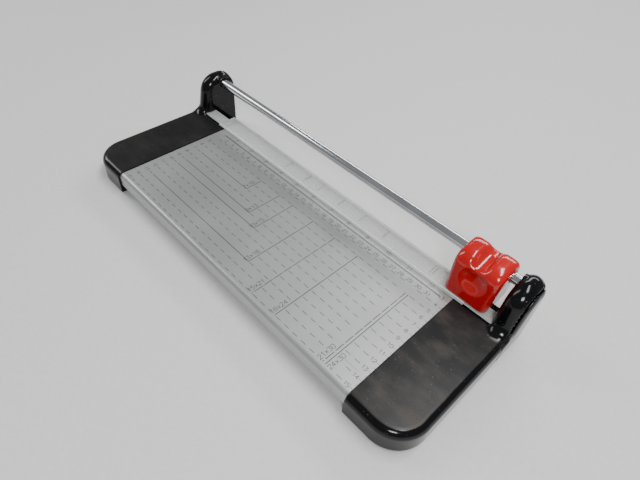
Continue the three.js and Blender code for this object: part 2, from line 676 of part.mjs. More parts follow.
/** A rubber foot with a push-in stem. */
function makeFoot() {
  const end = FOOT_HEIGHT + FOOT_STEM_LENGTH - FOOT_STEM_SPARE;
  const profile = [
    V2(0, 0), V2(FOOT_RADIUS - FOOT_EDGE, 0), V2(FOOT_RADIUS, FOOT_EDGE),
    V2(FOOT_RADIUS, FOOT_HEIGHT), V2(FOOT_STEM_RADIUS, FOOT_HEIGHT),
    V2(FOOT_STEM_RADIUS - FOOT_STEM_TAPER, end), V2(0, end),
  ];
  return new THREE.LatheGeometry(profile, SIDES.medium).rotateX(Math.PI / 2);
}

// ---- Cutting head ----------------------------------------------------------------------------

/** One level ring of the hood: a rounded rectangle. */
function hoodRing(half, front, back, radius, z) {
  const corners = [
    [half - radius, back - radius, 0],
    [-half + radius, back - radius, 90],
    [-half + radius, -front + radius, 180],
    [half - radius, -front + radius, 270],
  ];
  const points = corners.flatMap(([x, y, from]) => arc(x, y, radius, from, from + 90, STEPS.hood));
  return points.map((p) => V3(p.x, p.y, z));
}

/** How far a rounded crown has drawn in at height z, for a rounding of the given radius. */
function drawnIn(radius, z) {
  const up = THREE.MathUtils.clamp((z - HEAD_TOP + radius) / radius, 0, 1);
  return radius * (1 - Math.sqrt(1 - up * up));
}

const faceAt = (z) => HEAD_FRONT - (HEAD_LEAN * (z - HEAD_BOTTOM)) / (HEAD_TOP - HEAD_BOTTOM);

/** Rings of the hood from foot to crown, moved in from the outside by a wall's thickness. */
function hoodSkin(thinner) {
  const crownStart = HEAD_TOP - CROWN_FRONT;
  const levels = [
    ...HEAD_LEVELS.map((rise) => HEAD_BOTTOM + rise),
    crownStart,
    ...CROWN_LEVELS.map((share) => crownStart + CROWN_FRONT * share),
  ];
  return levels.map((z) => {
    const flare = Math.min(1, (z - HEAD_BOTTOM) / HEAD_FLARE);
    const wide = HEAD_FOOT_HALF + (HEAD_HALF - HEAD_FOOT_HALF) * flare;
    const front = faceAt(z) - drawnIn(CROWN_FRONT, z);
    const back = HEAD_BACK - drawnIn(CROWN_BACK, z);
    const half = wide - drawnIn(CROWN_SIDE, z);
    return hoodRing(half - thinner, front - thinner, back - thinner, HEAD_CORNER - thinner / 2, z);
  });
}

/** The saddle's round bar, and the ball of the thumb hollow, both grown by a wall's thickness. */
function hoodDents(grown) {
  const radius = SADDLE_RADIUS + grown;
  const share = (SADDLE_RADIUS + grown * ROOM_SHARE) / radius;
  const thumbY = -faceAt(THUMB_ABOVE) + THUMB_DEPTH - THUMB_RADIUS;
  const ball = THUMB_RADIUS + grown * ROOM_SHARE;
  return [
    bar('y', radius, -HEAD_FRONT, HEAD_BACK + OVER, 0, 0, SIDES.large)
      .scale(share, 1, 1).translate(0, 0, SADDLE_FLOOR + SADDLE_RADIUS),
    new THREE.SphereGeometry(ball, BALL_STEPS.across, BALL_STEPS.along)
      .translate(0, thumbY, THUMB_ABOVE),
  ].map(solid);
}

/** The room inside the hood and its blade guard, open in front below the table's height. */
function hoodRooms() {
  const wall = HEAD_SHELL_WALL;
  const rings = hoodSkin(wall).map((ring, i) =>
    ring.map((p) => V3(p.x, p.y, i === 0 ? p.z - OVER : p.z - wall)));
  const bladeRoom = bar(
    'y', GUARD_RADIUS - wall, GUARD_FRONT - OVER, GUARD_BACK - wall, 0, BLADE_CENTRE, SIDES.fine,
  );
  const inside = minus(solid(loft(rings, (p) => V2(p.x, p.y))), ...hoodDents(wall));
  const open = box(
    -HEAD_HALF, HEAD_HALF, -HEAD_FRONT - OVER, GUARD_FRONT + OPEN_LIP,
    BLADE_CENTRE - GUARD_RADIUS - OVER, HEAD_BOTTOM,
  );
  return [union(inside, solid(bladeRoom)), solid(open)];
}

/** The holes through the hood: rod, axle head and the two screws. */
function hoodHoles() {
  const reach = HEAD_HALF + OVER;
  const back = HEAD_BACK + OVER;
  return [
    bar('x', ROD_RADIUS + FREE_GAP, -reach, reach, ROD_BEHIND, ROD_ABOVE, SIDES.large),
    bar('y', AXLE_HEAD_RADIUS + FIT_GAP, 0, back, 0, BLADE_CENTRE, SIDES.medium),
    ...[-HEAD_SCREW_SPREAD, HEAD_SCREW_SPREAD].map((x) =>
      bar('y', HEAD_SCREW_RADIUS + FIT_GAP, 0, back, x, HEAD_SCREW_ABOVE, SIDES.tiny)),
  ].map(solid);
}

/** The red hood: hollow, with a saddle between two ridges, a thumb hollow and a blade guard. */
function makeHood() {
  const guard = bar('y', GUARD_RADIUS, GUARD_FRONT, GUARD_BACK, 0, BLADE_CENTRE, SIDES.fine);
  const outside = union(solid(loft(hoodSkin(0), (p) => V2(p.x, p.y))), solid(guard));
  return minus(outside, ...hoodDents(0), ...hoodRooms(), ...hoodHoles());
}

/** The carrier's lug on one side, with the web that joins it to the block. */
function carrierLug(s) {
  const [a, b] = [s * LUG_INNER, s * CARRIER_HALF].sort((p, q) => p - q);
  return union(
    solid(bar('x', LUG_RADIUS, a, b, ROD_BEHIND, ROD_ABOVE, SIDES.fine)),
    solid(box(a, b, ROD_BEHIND - LUG_WEB.front, ROD_BEHIND + LUG_WEB.back, CARRIER_DECK - OVER, ROD_ABOVE)),
  );
}

/** The holes on one side of the carrier: bush, shoe peg and head screw. */
function carrierHoles(s) {
  const [a, b] = [s * (LUG_INNER + LUG_STOP), s * (CARRIER_HALF + OVER)].sort((p, q) => p - q);
  return [
    bar('x', around(BUSH_RADIUS + RUN_GAP, SIDES.fine), a, b, ROD_BEHIND, ROD_ABOVE, SIDES.fine),
    bar('z', SHOE_PEG_RADIUS + FIT_GAP, CARRIER_BOTTOM - OVER, CARRIER_BOTTOM + SHOE_PEG_ROOM,
      s * (SHOE_HALF - SHOE_PEG_INSET), SHOE_MIDDLE, SIDES.tiny),
    bar('y', HEAD_SCREW_RADIUS + RUN_GAP, CARRIER_BACK - HEAD_SCREW_LENGTH, CARRIER_BACK + OVER,
      s * HEAD_SCREW_SPREAD, HEAD_SCREW_ABOVE, SIDES.tiny),
  ];
}

/** The black carrier inside the hood: block, blade chamber, two lugs for the bushes. */
function makeCarrier() {
  const half = CARRIER_HALF;
  const block = box(-half, half, -CARRIER_FRONT, CARRIER_BACK, CARRIER_BOTTOM, CARRIER_DECK);
  const skirtRadius = GUARD_RADIUS - HEAD_SHELL_WALL - FIT_GAP;
  const skirt = bar('y', skirtRadius, SPRING_SEAT, CARRIER_BACK, 0, BLADE_CENTRE, SIDES.fine);
  const chamber = BLADE_RADIUS + FREE_GAP;
  const chamberFront = -BLADE_FLOAT - CLIP_THICKNESS - FREE_GAP;
  const tip = -CARRIER_FRONT + AXLE_TIP_WALL;
  const mouth = LUG_INNER + LUG_STOP;
  const cuts = [
    bar('y', chamber, chamberFront, SPRING_SEAT, 0, BLADE_CENTRE, SIDES.fine),
    box(-chamber, chamber, chamberFront, SPRING_SEAT, GROUND, BLADE_CENTRE),
    bar('y', HUB_RADIUS + BLADE_SPRING_ROOM, 0, SPRING_BACK + FIT_GAP, 0, BLADE_CENTRE, SIDES.medium),
    bar('y', AXLE_RADIUS + FIT_GAP, tip, CARRIER_BACK + OVER, 0, BLADE_CENTRE, SIDES.small),
    bar('x', LUG_MOUTH, -mouth, mouth, ROD_BEHIND, ROD_ABOVE, SIDES.large),
    ...carrierHoles(-1),
    ...carrierHoles(1),
  ];
  const body = union(solid(block), solid(skirt), carrierLug(-1), carrierLug(1));
  return minus(body, ...cuts.map(solid));
}

/** A plain bush, from x = 0 outwards. */
function makeBush() {
  const length = CARRIER_HALF - BUSH_START - FIT_GAP;
  return minus(
    solid(bar('x', BUSH_RADIUS, 0, length, 0, 0, SIDES.fine)),
    solid(bar('x', around(ROD_RADIUS + RUN_GAP, SIDES.fine), -OVER, length + OVER, 0, 0, SIDES.fine)),
  );
}

/** The pressing shoe: a plate with bevelled front and back edges, and two pegs. */
function makeShoe() {
  const bottom = STRIP_TOP + FIT_GAP;
  const top = CARRIER_BOTTOM - FIT_GAP;
  const plate = alongX(
    [
      V2(-SHOE_BACK, top), V2(-SHOE_FRONT, top), V2(-SHOE_FRONT, bottom + SHOE_BEVEL),
      V2(-SHOE_FRONT + SHOE_BEVEL, bottom), V2(-SHOE_BACK - SHOE_BEVEL, bottom),
      V2(-SHOE_BACK, bottom + SHOE_BEVEL),
    ],
    -SHOE_HALF,
    SHOE_HALF,
  );
  const spread = SHOE_HALF - SHOE_PEG_INSET;
  const pegs = [-spread, spread].map((x) =>
    bar('z', SHOE_PEG_RADIUS, top - OVER, top + SHOE_PEG_LENGTH, x, SHOE_MIDDLE, SIDES.tiny));
  return union(solid(plate), ...pegs.map(solid));
}

/** The round blade, ground to an edge on its back face. */
function makeBlade() {
  const bore = around(HUB_RADIUS + RUN_GAP, SIDES.fine);
  return turnedY(
    [
      [bore, BLADE_GAP], [BLADE_RADIUS, BLADE_GAP], [BLADE_RADIUS - BLADE_GRIND, BLADE_BACK],
      [bore, BLADE_BACK], [bore, BLADE_GAP],
    ],
    0, BLADE_CENTRE, SIDES.blade,
  );
}

/** The flanged hub: nose through the blade, flange behind it, sleeve for the spring. */
function makeHub() {
  const bore = around(AXLE_RADIUS + RUN_GAP, SIDES.large);
  const flange = BLADE_BACK + BLADE_SEAT_GAP;
  const nose = BLADE_GAP - BLADE_SEAT_GAP - CLIP_THICKNESS;
  const sleeve = HUB_RADIUS - HUB_STEP;
  return turnedY(
    [
      [bore, nose], [HUB_RADIUS, nose], [HUB_RADIUS, flange], [HUB_FLANGE_RADIUS, flange],
      [HUB_FLANGE_RADIUS, flange + HUB_FLANGE], [sleeve, flange + HUB_FLANGE],
      [sleeve, HUB_END], [bore, HUB_END], [bore, nose],
    ],
    0, BLADE_CENTRE, SIDES.large,
  );
}

/** The ring that keeps the blade on the hub's nose. */
function makeClip() {
  const bore = around(HUB_RADIUS + RUN_GAP, SIDES.large);
  const back = BLADE_GAP - BLADE_SEAT_GAP;
  const front = back - CLIP_THICKNESS;
  return turnedY(
    [
      [bore, front], [CLIP_RADIUS - CLIP_EDGE, front], [CLIP_RADIUS, front + CLIP_EDGE],
      [CLIP_RADIUS, back], [bore, back], [bore, front],
    ],
    0, BLADE_CENTRE, SIDES.large,
  );
}

/** The shoulder bolt that the hub slides on, with a slotted head at the back. */
function makeAxle() {
  const seat = CARRIER_BACK + FIT_GAP;
  const head = HEAD_BACK + AXLE_PROUD;
  const tip = -CARRIER_FRONT + AXLE_TIP_WALL + FIT_GAP;
  const bolt = turnedY(
    [
      [0, tip], [AXLE_RADIUS, tip], [AXLE_RADIUS, seat], [AXLE_HEAD_RADIUS, seat],
      [AXLE_HEAD_RADIUS, head - AXLE_EDGE], [AXLE_HEAD_RADIUS - AXLE_EDGE, head], [0, head],
    ],
    0, BLADE_CENTRE, SIDES.large,
  );
  const slot = box(
    -AXLE_HEAD_RADIUS - OVER, AXLE_HEAD_RADIUS + OVER, head - AXLE_SLOT_DEPTH, head + OVER,
    BLADE_CENTRE - AXLE_SLOT_HALF, BLADE_CENTRE + AXLE_SLOT_HALF,
  );
  return minus(solid(bolt), solid(slot));
}

// ---- Assembly --------------------------------------------------------------------------------
const assembly = new THREE.Group();
assembly.position.set(0, FOOTPRINT_MIDDLE, TABLE_ABOVE_GROUND);
assembly.add(node('board', makeTable(), 'aluminium'));
assembly.add(node('counter_knife', makeKnife(), 'steel'));

const rod = node('guide_rod', makeRod(), 'chrome');
rod.position.set(0, ROD_BEHIND, ROD_ABOVE);
assembly.add(rod);

const strip = node('clamp_strip', makeStrip(), 'clearPlastic');
strip.position.z = STRIP_LIFT;
assembly.add(strip);

for (const [side, s] of [['left', -1], ['right', 1]]) {
  const handed = (geometry) => (s > 0 ? geometry : mirrored(geometry));
  assembly.add(node(`end_cap_${side}`, handed(makeCap()), 'blackPlastic'));
  assembly.add(node(`post_cover_${side}`, handed(makeCover()), 'blackPlastic'));

  const rodScrewShape = screwX(
    ROD_SCREW_RADIUS, ROD_SCREW_LENGTH, ROD_SCREW_HEAD_RADIUS, ROD_SCREW_HEAD,
  );
  const rodScrew = node(`rod_screw_${side}`, rodScrewShape, 'steel');
  rodScrew.position.set(s * (ROD_BOSS_END + FIT_GAP), ROD_BEHIND, ROD_ABOVE);
  rodScrew.rotation.z = s > 0 ? Math.PI : 0;
  assembly.add(rodScrew);

  for (const [place, forward] of Object.entries(END_SCREW_PLACES)) {
    const shape = screwX(END_SCREW_RADIUS, END_SCREW_LENGTH, END_SCREW_HEAD_RADIUS, END_SCREW_HEAD);
    const screw = node(`end_screw_${side}_${place}`, shape, 'steel');
    screw.position.set(s * (CAP_INNER + CAP_WALL + FIT_GAP), -forward, -END_SCREW_DEPTH);
    screw.rotation.z = s > 0 ? Math.PI : 0;
    assembly.add(screw);
  }

  for (const [place, { x, y }] of Object.entries(FOOT_PLACES)) {
    const foot = node(`foot_${side}_${place}`, makeFoot(), 'rubber');
    foot.position.set(s * x, y, GROUND);
    assembly.add(foot);
  }

  const spring = node(`clamp_spring_${side}`, makeClampSpring(), 'steel');
  const springIn = CAP_WALL + CLAMP_SPRING_RADIUS + CLAMP_SPRING_WIRE + CLAMP_SPRING_GAP;
  spring.position.set(s * (POST_INNER + springIn), TONGUE_MIDDLE, STRIP_LIFT - CLAMP_SPRING_HEIGHT);
  assembly.add(spring);
}

const head = new THREE.Group();
head.position.x = HEAD_REST;
assembly.add(head);
head.add(node('head_shell', makeHood(), 'redPlastic'));
head.add(node('head_carrier', makeCarrier(), 'blackPlastic'));
head.add(node('press_shoe', makeShoe(), 'whitePlastic'));
head.add(node('blade_axle', makeAxle(), 'steel'));
head.add(node('blade_hub', makeHub(), 'steel'));
head.add(node('blade_clip', makeClip(), 'steel'));
head.add(node('rotary_blade', makeBlade(), 'steel'));

const bladeCoil = coil(
  HUB_RADIUS + BLADE_SPRING_AROUND, BLADE_SPRING_WIRE, SPRING_BACK - SPRING_SEAT, BLADE_SPRING_TURNS,
);
const bladeSpring = node('blade_spring', bladeCoil, 'steel');
bladeSpring.rotation.x = -Math.PI / 2;
bladeSpring.position.set(0, SPRING_SEAT, BLADE_CENTRE);
head.add(bladeSpring);

for (const [side, s] of [['left', -1], ['right', 1]]) {
  const bush = node(`rod_bush_${side}`, makeBush(), 'whitePlastic');
  bush.position.set(s * BUSH_START, ROD_BEHIND, ROD_ABOVE);
  bush.rotation.z = s > 0 ? 0 : Math.PI;
  head.add(bush);

  const shape = screwX(
    HEAD_SCREW_RADIUS, HEAD_SCREW_LENGTH, HEAD_SCREW_HEAD_RADIUS, HEAD_SCREW_HEAD,
  );
  const screw = node(`head_screw_${side}`, shape, 'steel');
  screw.rotation.z = -Math.PI / 2;
  screw.position.set(s * HEAD_SCREW_SPREAD, HEAD_BACK + FIT_GAP, HEAD_SCREW_ABOVE);
  head.add(screw);
}

export default assembly;
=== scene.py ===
# %% [markdown]
# # A rotary paper trimmer
# A rotary trimmer cuts paper with a round blade that rolls along a fixed knife. The blade sits in a
# red head, the head slides on a round rod, and the rod is held by two black end pieces that also
# carry the ruled metal table. The CAD model fixes every size, so the scene starts by loading it.

import math

import bpy
import numpy as np
from mathutils import Matrix, Vector


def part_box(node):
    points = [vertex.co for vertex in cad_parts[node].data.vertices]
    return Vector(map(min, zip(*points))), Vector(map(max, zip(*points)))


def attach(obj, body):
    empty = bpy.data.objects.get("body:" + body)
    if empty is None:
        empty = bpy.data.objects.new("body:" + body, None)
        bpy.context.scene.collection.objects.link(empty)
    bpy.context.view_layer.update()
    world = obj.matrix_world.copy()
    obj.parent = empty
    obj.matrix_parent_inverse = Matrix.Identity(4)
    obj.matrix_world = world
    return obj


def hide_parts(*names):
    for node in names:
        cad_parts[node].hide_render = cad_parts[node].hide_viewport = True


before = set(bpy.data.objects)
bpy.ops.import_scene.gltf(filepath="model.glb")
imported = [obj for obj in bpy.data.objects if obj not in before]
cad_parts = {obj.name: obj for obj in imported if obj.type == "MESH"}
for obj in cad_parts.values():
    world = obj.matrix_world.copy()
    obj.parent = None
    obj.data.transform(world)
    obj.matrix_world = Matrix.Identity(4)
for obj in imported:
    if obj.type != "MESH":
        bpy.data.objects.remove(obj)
bpy.context.view_layer.update()

# %% [markdown]
# A trimmer is easiest to describe from its cut line. So every shape below is drawn in millimetres
# in the cut frame: x runs along the cut from the middle of the table, y is the distance behind the
# cut line, and z is the height above the table. One function turns that into metres in the model.

# %% The cut frame
MM = 0.001
CUT_ORIGIN = np.array([0.0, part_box("counter_knife")[1].y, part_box("board")[1].z])


def to_model(points):
    """Millimetres in the cut frame to metres in the model's frame."""
    return CUT_ORIGIN + MM * np.asarray(points, float)


def cut_box(node):
    """A CAD node's lowest and highest corner, in millimetres in the cut frame."""
    low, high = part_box(node)
    return (np.array(low) - CUT_ORIGIN) / MM, (np.array(high) - CUT_ORIGIN) / MM


TABLE_LOW, TABLE_HIGH = cut_box("board")
CAP_LOW, CAP_HIGH = cut_box("end_cap_right")
HEAD_LOW, HEAD_HIGH = cut_box("head_shell")
HEAD_X = (HEAD_LOW[0] + HEAD_HIGH[0]) / 2
print("table", TABLE_LOW.round(1), TABLE_HIGH.round(1), "head at x", round(HEAD_X, 1))

# %% [markdown]
# Blender keeps a mesh as a list of points and a list of faces. A small class holds both as numpy
# arrays, so that shapes can be joined, moved and mirrored as whole arrays before Blender sees them.


# %% Shapes as arrays
class Shape:
    """Points in the cut frame, and face sets: each is an array with one row of corners per face."""

    def __init__(self, points, *faces):
        self.points = np.asarray(points, float)
        self.faces = [np.asarray(f, np.int64) for f in faces if len(f)]

    def __add__(self, other):
        shifted = [f + len(self.points) for f in other.faces]
        return Shape(np.vstack([self.points, other.points]), *self.faces, *shifted)

    def moved(self, x=0.0, y=0.0, z=0.0):
        return Shape(self.points + [x, y, z], *self.faces)

    def mirrored(self):
        """The same shape on the other side of x = 0, with each face's corners in reverse order."""
        return Shape(self.points * [-1, 1, 1], *[f[:, ::-1] for f in self.faces])


def make_piece(name, shape, material, body, stands_for=(), sharp=35):
    """Puts a shape into Blender as one object that rides on a body and stands for CAD nodes."""
    mesh = bpy.data.meshes.new(name)
    mesh.vertices.add(len(shape.points))
    mesh.vertices.foreach_set("co", to_model(shape.points).astype(np.float32).ravel())
    corners = np.concatenate([f.ravel() for f in shape.faces])
    sizes = np.concatenate([np.full(len(f), f.shape[1]) for f in shape.faces])
    mesh.loops.add(len(corners))
    mesh.loops.foreach_set("vertex_index", corners.astype(np.int32))
    mesh.polygons.add(len(sizes))
    mesh.polygons.foreach_set("loop_start", (np.cumsum(sizes) - sizes).astype(np.int32))
    mesh.update(calc_edges=True)
    mesh.validate()
    mesh.polygons.foreach_set("use_smooth", np.ones(len(sizes), bool))
    mesh.set_sharp_from_angle(angle=math.radians(sharp))
    piece = bpy.data.objects.new(name, mesh)
    bpy.context.scene.collection.objects.link(piece)
    mesh.materials.append(material)
    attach(piece, body)
    if stands_for:
        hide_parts(*stands_for)
    triangles = int((sizes - 2).sum())
    print(f"{name}: {len(shape.points)} points, {triangles} triangles")


# %% [markdown]
# Most of the parts are profiles carried along a line, like toothpaste through a nozzle: the table,
# the knife and the strip are long straight sections, and the rod is a turned bar.


# %% Profiles and turned shapes
def arc(centre, radius, start, end, steps):
    """Points of a circle's arc, from one angle in degrees to another."""
    angle = np.radians(np.linspace(start, end, steps + 1))
    return np.stack([centre[0] + radius * np.cos(angle), centre[1] + radius * np.sin(angle)], 1)


def along_x(outline, start, end):
    """A closed counter-clockwise outline of (y, z) points carried from x = start to x = end."""
    outline = np.asarray(outline, float)
    count = len(outline)
    ends = [np.column_stack([np.full(count, x), outline]) for x in (start, end)]
    here = np.arange(count)
    after = np.roll(here, -1)
    sides = np.stack([here, after, after + count, here + count], 1)
    return Shape(np.vstack(ends), sides, [here[::-1]], [here + count])


def turned(profile, sides):
    """Radii and heights along x turned round the x axis: y = r cos a, z = r sin a."""
    radius, along = np.asarray(profile, float).T
    angle = np.linspace(0, 2 * np.pi, sides, endpoint=False)
    points = np.stack(
        [
            np.repeat(along, sides),
            np.outer(radius, np.cos(angle)).ravel(),
            np.outer(radius, np.sin(angle)).ravel(),
        ],
        1,
    )
    ring = np.arange(sides)
    after = np.roll(ring, -1)
    rows = np.arange(len(radius) - 1)[:, None] * sides
    quads = np.stack([rows + ring, rows + after, rows + sides + after, rows + sides + ring], -1)
    last = (len(radius) - 1) * sides
    return Shape(points, quads.reshape(-1, 4), [ring[::-1]], [ring + last])


# %% [markdown]
# Moulded plastic is different: its fillets flow into each other. Such a piece is drawn as a
# distance field, a formula that gives the distance from any place to the surface, negative inside.
# Two fields joined or cut with a radius give the same soft fillets that a mould has.


# %% Distance fields
def meet(a, b, radius):
    """What two fields share. Where both surfaces are near, a quarter circle rounds the edge."""
    rounded = np.hypot(np.maximum(a + radius, 0), np.maximum(b + radius, 0))
    return np.minimum(np.maximum(a, b), -radius) + rounded


def merge(a, b, radius):
    """Both fields together, with a fillet in the corner between them."""
    return -meet(-a, -b, radius)


def cut(a, b, radius):
    """The first field without the second, with the edge of the cut rounded."""
    return meet(a, -b, radius)


def rod_field(p, q, radius):
    """Distance to a long round bar, from the two coordinates across it."""
    return np.hypot(p, q) - radius


def slab(value, low, high):
    """Distance to the space between two parallel planes."""
    return np.maximum(low - value, value - high)


def smooth(value, low, high):
    """0 below low, 1 above high, and a smooth ramp between."""
    t = np.clip((value - low) / (high - low), 0, 1)
    return t * t * (3 - 2 * t)


SLIDES = 3
SLOPE_STEP = 0.05  # in cells
LONGEST_SLIDE = 0.4  # in cells
LEAST_SLOPE = 0.25  # squared


def skin(field, low, high, cell):
    """The surface where a field is zero, as quads.

    The space is split into cells. A cell that the surface passes through gets one point, the mean of
    the places where its edges cross the surface. Each crossed edge joins its four cells by a quad.
    The points are then slid along the field's slope until they lie on the surface.
    """
    axes = [np.arange(a, b + cell, cell) for a, b in zip(low, high)]
    values = field(*np.meshgrid(*axes, indexing="ij"))
    cells = tuple(n - 1 for n in values.shape)
    total = np.zeros(cells + (3,))
    count = np.zeros(cells)
    crossings = []
    for axis in range(3):
        a = np.moveaxis(values, axis, 0)[:-1]
        b = np.moveaxis(values, axis, 0)[1:]
        crossed = (a < 0) != (b < 0)
        share = np.where(crossed, a / np.where(crossed, a - b, 1), 0)
        crossings.append((crossed, a < 0))
        others = [k for k in range(3) if k != axis]
        for u in (0, 1):
            for v in (0, 1):
                part = (slice(None), slice(u, u + cells[others[0]]), slice(v, v + cells[others[1]]))
                hit = np.moveaxis(crossed[part], 0, axis)
                total[..., axis] += np.moveaxis(share[part], 0, axis)
                total[..., others[0]] += hit * u
                total[..., others[1]] += hit * v
                count += hit
    used = count > 0
    number = np.full(cells, -1)
    number[used] = np.arange(used.sum())
    points = np.asarray(low) + cell * (np.argwhere(used) + total[used] / count[used][:, None])
    quads = []
    for axis, (crossed, inside) in enumerate(crossings):
        ids = np.moveaxis(number, axis, 0)
        inner = (slice(None), slice(1, -1), slice(1, -1))
        hit, low_inside = crossed[inner], inside[inner]
        ring = [ids[:, :-1, :-1], ids[:, 1:, :-1], ids[:, 1:, 1:], ids[:, :-1, 1:]]
        faces = np.stack([r[hit] for r in ring], 1)
        turn = low_inside[hit] if axis != 1 else ~low_inside[hit]
        quads.append(np.where(turn[:, None], faces, faces[:, ::-1]))
    step = cell * SLOPE_STEP
    for _ in range(SLIDES):
        here = field(*points.T)
        slope = np.stack(
            [
                (field(*(points + step * e).T) - field(*(points - step * e).T)) / (2 * step)
                for e in np.eye(3)
            ],
            1,
        )
        move = here[:, None] * slope / np.maximum((slope**2).sum(1), LEAST_SLOPE)[:, None]
        points = points - np.clip(move, -LONGEST_SLIDE * cell, LONGEST_SLIDE * cell)
    return Shape(points, np.vstack(quads))


# %% [markdown]
# Shader maths reads best as maths. The class below wraps one output of a material's nodes, so that
# an expression such as 1 - mask adds the Math nodes it needs.


# %% Materials as expressions
class Value:
    """One output in a material. Arithmetic on it adds Math nodes to the material."""

    def __init__(self, finish, socket):
        self.finish = finish
        self.socket = socket

    def math(self, operation, *others, clamp=False):
        names = {str(i): other for i, other in enumerate((self, *others))}
        settings = {"operation": operation, "use_clamp": clamp}
        return self.finish.node("ShaderNodeMath", settings, **{"_" + k: v for k, v in names.items()})

    def __add__(self, other):
        return self.math("ADD", other)

    __radd__ = __add__

    def __mul__(self, other):
        return self.math("MULTIPLY", other)

    __rmul__ = __mul__

    def __sub__(self, other):
        return self.math("SUBTRACT", other)

    def __rsub__(self, other):
        return (self * -1.0) + other

    def __abs__(self):
        return self.math("ABSOLUTE")

    def clipped(self):
        return self.math("ADD", 0.0, clamp=True)

    def ramp(self, low, high):
        """0 where the value is below low, 1 above high, and a smooth step between."""
        settings = {"interpolation_type": "SMOOTHSTEP"}
        return self.finish.node(
            "ShaderNodeMapRange", settings, Value=self, _1=low, _2=high, _3=0.0, _4=1.0
        )


class Finish:
    """A material and its main shader, with short ways to add nodes."""

    def __init__(self, name, **constants):
        self.material = bpy.data.materials.new(name)
        self.material.use_nodes = True
        self.tree = self.material.node_tree
        self.shader = self.tree.nodes["Principled BSDF"]
        for socket, value in constants.items():
            self.shader.inputs[socket.replace("_", " ")].default_value = value
        self.place = self.node("ShaderNodeTexCoord", output="Object")

    def node(self, kind, settings=None, output=0, **values):
        """Any node: its settings first, then its sockets by name, or by number as _0, _1."""
        made = self.tree.nodes.new(kind)
        for key, value in (settings or {}).items():
            setattr(made, key, value)
        for key, value in values.items():
            socket = made.inputs[int(key[1:])] if key[0] == "_" else made.inputs[key]
            if isinstance(value, Value):
                self.tree.links.new(value.socket, socket)
            else:
                socket.default_value = value
        return Value(self, made.outputs[output])

    def axis(self, index):
        return self.node("ShaderNodeSeparateXYZ", output=index, _0=self.place)

    def stretched(self, x, y, z):
        """The place on the object, scaled along each axis, in repeats per metre."""
        return self.node("ShaderNodeVectorMath", {"operation": "MULTIPLY"}, _0=self.place, _1=(x, y, z))

    def noise(self, scale, detail=3.0, vector=None, rough=0.5):
        return self.node(
            "ShaderNodeTexNoise", output="Fac", Vector=vector or self.place, Scale=scale,
            Detail=detail, Roughness=rough,
        )

    def mix(self, factor, a, b):
        """Colour a where the factor is 0 and b where it is 1."""
        return self.node(
            "ShaderNodeMix", {"data_type": "RGBA"}, output=2, _0=factor, _6=a, _7=b
        )

    def feed(self, socket, value):
        self.tree.links.new(value.socket, self.shader.inputs[socket])

    def bump(self, height, distance, strength=1.0):
        """Tiny relief: height 0 to 1 stands for this many metres."""
        normal = self.node("ShaderNodeBump", Strength=strength, Distance=distance, Height=height)
        self.feed("Normal", normal)


def rgb(red, green, blue):
    return (red, green, blue, 1.0)


# %% [markdown]
# The table is extruded aluminium with a satin anodised skin. Extruding draws very fine lines along
# the profile, and the anodising leaves a soft, even grain. Both are faint, so each changes the
# colour and roughness by a few hundredths only.


# %% Anodised aluminium
def anodised():
    f = Finish("anodised_aluminium", Metallic=0.8)
    drawn = f.noise(1.0, 4.0, f.stretched(6, 1400, 1400))
    grain = f.noise(2600.0, 2.0)
    cloud = f.noise(14.0, 4.0)
    speck = f.noise(900.0, 1.0).ramp(0.74, 0.78)
    tone = drawn * 0.16 + grain * 0.22 + cloud * 0.3
    colour = f.mix(tone.ramp(0.15, 0.55), rgb(0.40, 0.41, 0.40), rgb(0.52, 0.53, 0.52))
    f.feed("Base Color", f.mix(speck * 0.5, colour, rgb(0.22, 0.22, 0.21)))
    f.feed("Roughness", drawn * 0.12 + cloud * 0.14 + 0.30)
    f.bump(grain * 0.6 + drawn * 0.4, 0.00003, 0.5)
    return f.material


aluminium = anodised()
print("anodised aluminium:", len(aluminium.node_tree.nodes), "nodes")

# %% [markdown]
# The section of the table: a thin plate with a rounded front wall, a groove at the back for the
# knife, and two screw channels underneath. Real channels are open slots in the extrusion, so the
# whole section is one closed outline.

# %% Table section
PLATE = 2.2
NOSE_RADIUS = 5.0
TABLE_FRONT = TABLE_LOW[1]
TABLE_BOTTOM = -14.0
KNIFE_LOW, KNIFE_HIGH = cut_box("counter_knife")
GROOVE = 0.3
GROOVE_EDGE = 0.25
WALL_EDGE = 0.4
GROOVE_FILLET = 0.6
LIP, LIP_HEIGHT, LIP_EDGE = 1.5, 3.5, 0.3
SCREW_PLACES = (-120.0, -40.0)
CHANNEL_Z = -8.0
CHANNEL_BORE, CHANNEL_OUTSIDE = 2.3, 4.3
CHANNEL_SLOT = 20  # degrees to each side of straight down
CHANNEL_WEB = 28  # degrees to each side of straight up
CHANNEL_WEB_HALF = 2.02


def screw_channel(y):
    """An open slot for a self-tapping screw, with the web that joins it to the plate."""
    centre = (y, CHANNEL_Z)
    front, back = 270 - CHANNEL_SLOT, CHANNEL_SLOT - 90
    outer = arc(centre, CHANNEL_OUTSIDE, 90 + CHANNEL_WEB, front, 12)
    inner = arc(centre, CHANNEL_BORE, front, back, 28)
    rear = arc(centre, CHANNEL_OUTSIDE, back, 90 - CHANNEL_WEB, 12)
    web = [(y - CHANNEL_WEB_HALF, -PLATE)], [(y + CHANNEL_WEB_HALF, -PLATE)]
    return np.vstack([web[0], outer, inner, rear, web[1]])


